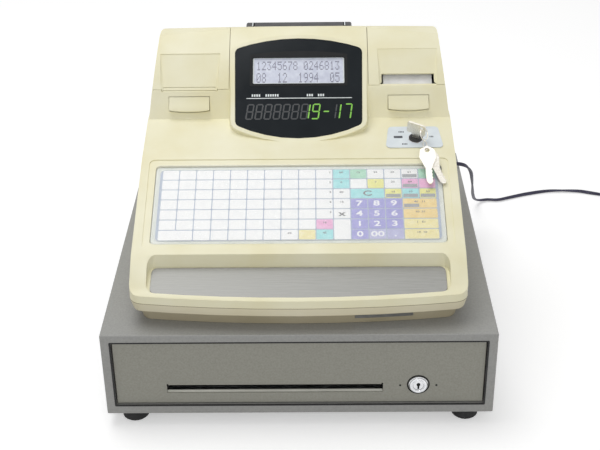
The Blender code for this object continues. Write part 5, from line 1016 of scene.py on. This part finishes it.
def addFoilStrip():
    look = foilStrip
    shape = bmesh.new()
    rings = []
    for k in range(look["steps"] + 1):
        x = look["left"] + (look["right"] - look["left"]) * k / look["steps"]
        back = look["bowRadius"] - math.sqrt(look["bowRadius"] ** 2 - x * x)
        ring = []
        for rise, proud in ((look["lowRise"], 1), (look["highRise"], 1), (look["highRise"], -1),
                            (look["lowRise"], -1)):
            y = look["frontY"] + back + (look["stepRise"] - rise) * look["lean"] - proud * look["proud"]
            ring.append(shape.verts.new((x, y, caseTop + rise)))
        rings.append(ring)
    for a, b in zip(rings, rings[1:]):
        for k in range(4):
            shape.faces.new((a[k], a[(k + 1) % 4], b[(k + 1) % 4], b[k]))
    shape.faces.new(rings[0])
    shape.faces.new(rings[-1][::-1])
    finishPiece("foil_strip", shape, [foil], "register")


def turned(shape, section, place, slot, steps=40):
    # A closed section turned round the place's own Z
    rings = []
    for k in range(steps):
        angle = 2 * math.pi * k / steps
        rings.append([shape.verts.new(place @ Vector((r * math.cos(angle), r * math.sin(angle), h)))
                      for r, h in section])
    count = len(section)
    for k in range(steps):
        a, b = rings[k], rings[(k + 1) % steps]
        for i in range(count):
            shape.faces.new((a[i], a[(i + 1) % count], b[(i + 1) % count], b[i])).material_index = slot


# Spare keys: they hang lower than the ring on an open link and lie over the top of the keyboard
spareKeys = {
    "keys": {"spare_key_1": (0.0040, 2.0), "spare_key_2": (0.0052, -2.0)}, "down": 0.0205, "lean": -7.0,
    "linkWire": 0.00045, "linkHalf": 0.0022, "linkTop": (0.1425, -0.0203, 0.2492), "linkSides": 8,
    "linkSteps": 28, "linkReach": (0, -0.004, -0.0005),
}


def addSpareKeys():
    look = spareKeys
    face = slopeFrame("deck").to_3x3()
    down = face @ Vector((0, -1, 0)) * look["down"]
    tops = []
    for name, (across, turn) in look["keys"].items():
        mesh = nodes[name].data.copy()
        hole = Vector(max((v.co for v in mesh.vertices), key=lambda p: p.y))
        place = Matrix.Translation(hole + down + Vector((across, 0, 0)))
        place = place @ Matrix.Rotation(math.radians(turn), 4, "Z")
        place = place @ Matrix.Rotation(math.radians(-look["lean"]), 4, "X")
        mesh.transform(place @ Matrix.Translation(-hole))
        tops.append(hole + down + Vector((across, 0, 0)))
        item = bpy.data.objects.new("hung_" + name, mesh)
        bpy.context.scene.collection.objects.link(item)
        roundEdges(item, edgeRadius[name])
        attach(item, "key_bunch")
        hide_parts(name)
    start = Vector(look["linkTop"])
    end = (tops[0] + tops[1]) / 2 + face @ Vector(look["linkReach"])
    along = end - start
    across = Vector((1, 0, 0)) - along * (along.x / along.length_squared)
    across.normalize()
    out = along.cross(across).normalized()
    shape = bmesh.new()
    rings = []
    for k in range(look["linkSteps"]):
        angle = 2 * math.pi * k / look["linkSteps"]
        middle = start + along * (0.5 - 0.5 * math.cos(angle)) + across * look["linkHalf"] * math.sin(angle)
        away = (along.normalized() * -math.cos(angle) + across * math.sin(angle)).normalized()
        rings.append([shape.verts.new(middle + (away * math.cos(a) + out * math.sin(a)) * look["linkWire"])
                      for a in (2 * math.pi * i / look["linkSides"] for i in range(look["linkSides"]))])
    for a, b in zip(rings, rings[1:] + rings[:1]):
        for i in range(look["linkSides"]):
            n = (i + 1) % look["linkSides"]
            shape.faces.new((a[i], a[n], b[n], b[i]))
    finishPiece("key_link", shape, [nickelBrass], "key_bunch", True)


# Mode switch: printed marks on the plate and a bright rim round the barrel
modeSwitch = {
    "marks": [(0.1150, 0.0415, 0.0075), (0.1180, 0.0205, 0.0075), (0.1500, 0.0330, 0.0050)],
    "darkMark": (0.1090, 0.0320, 0.0100, 0.0036), "plateTop": 0.0011, "markHigh": 0.00014, "markTall": 0.0024,
    "barrelX": 0.134, "barrelAlong": 0.03118, "rimOuter": 0.0088, "rimInner": 0.0081, "rimHigh": 0.0020,
    "rimShoulder": 0.8, "rimRound": 0.0002, "letterPitch": 0.0016, "letterShare": 0.6,
}
plateInk = printed("darkPlateInk", "#3A4048", "#444A52", "#30363E")


def addModeSwitch():
    look = modeSwitch
    face = slopeFrame("deck")
    shape = bmesh.new()
    low = look["plateTop"] - sunk
    high = look["plateTop"] + look["markHigh"]
    for x, along, length in look["marks"]:
        step = look["letterPitch"]
        for k in range(int(length / step)):
            start = x + k * step
            mark = roundedOutline(start, start + step * look["letterShare"], along, along + look["markTall"],
                                  0.0002)
            addPrism(shape, mark, low, high, 0, face)
    x, along, length, tall = look["darkMark"]
    addPrism(shape, roundedOutline(x, x + length, along, along + tall, 0.0004), low, high, 0, face)
    centre = face @ Matrix.Translation((look["barrelX"], look["barrelAlong"], 0))
    section = [(look["rimOuter"], low), (look["rimOuter"], look["rimHigh"] * look["rimShoulder"]),
               (look["rimOuter"] - look["rimRound"], look["rimHigh"]),
               (look["rimInner"], look["rimHigh"]), (look["rimInner"], low)]
    turned(shape, section, centre, 1)
    finishPiece("mode_marks", shape, [plateInk, chromedZinc], "register")


# Customer display: window and figures on its rear face, a bright end mark at each side of its top
customer = {
    "rearY": 0.1578, "low": 0.2865, "high": 0.3190, "half": 0.0570, "figureLow": 0.2935, "figureHigh": 0.3120,
    "figureWidth": 0.0095, "figurePitch": 0.0130, "firstFigure": -0.0503, "bar": 0.0019,
    "figures": "88881994", "unlit": 4, "glassHigh": 0.0003, "glassEdge": 0.0001, "figureBase": 0.0002,
    "figureTop": 0.00042, "topZ": 0.3275, "topY": (0.1440, 0.1560), "markX": (-0.0565, 0.0560),
    "markHalf": 0.0006,
}


def addCustomerDisplay():
    look = customer
    shape = bmesh.new()
    place = Matrix.Translation((0, look["rearY"], 0)) @ Matrix.Rotation(math.pi, 4, "Z") @ upright
    outline = roundedOutline(-look["half"], look["half"], look["low"], look["high"], 0.003)
    addPrism(shape, outline, -sunk, look["glassHigh"], 0, place, look["glassEdge"])
    for k, figure in enumerate(look["figures"]):
        x0 = look["firstFigure"] + k * look["figurePitch"]
        barFigure(shape, figure, x0, x0 + look["figureWidth"], look["figureLow"], look["figureHigh"],
                  look["bar"], look["figureBase"], look["figureTop"], 2 if k < look["unlit"] else 1, place)
    for x in look["markX"]:
        y0, y1 = look["topY"]
        addPrism(shape, roundedOutline(x - look["markHalf"], x + look["markHalf"], y0, y1, 0.0003),
                 look["topZ"] - 0.0002, look["topZ"] + 0.0001, 3)
    finishPiece("customer_figures", shape, [smokedAcrylic, litGreen, unlitBar, whiteInkAndPaintedHighlight], "customer_display")


addKeys()
print("keys ready")
addDisplay()
print("display ready")
addDrawerTrim()
addLockDetail()
addSeamShadow()
addFoilStrip()
addModeSwitch()
addSpareKeys()
addCustomerDisplay()
print("trim ready")
addCord()
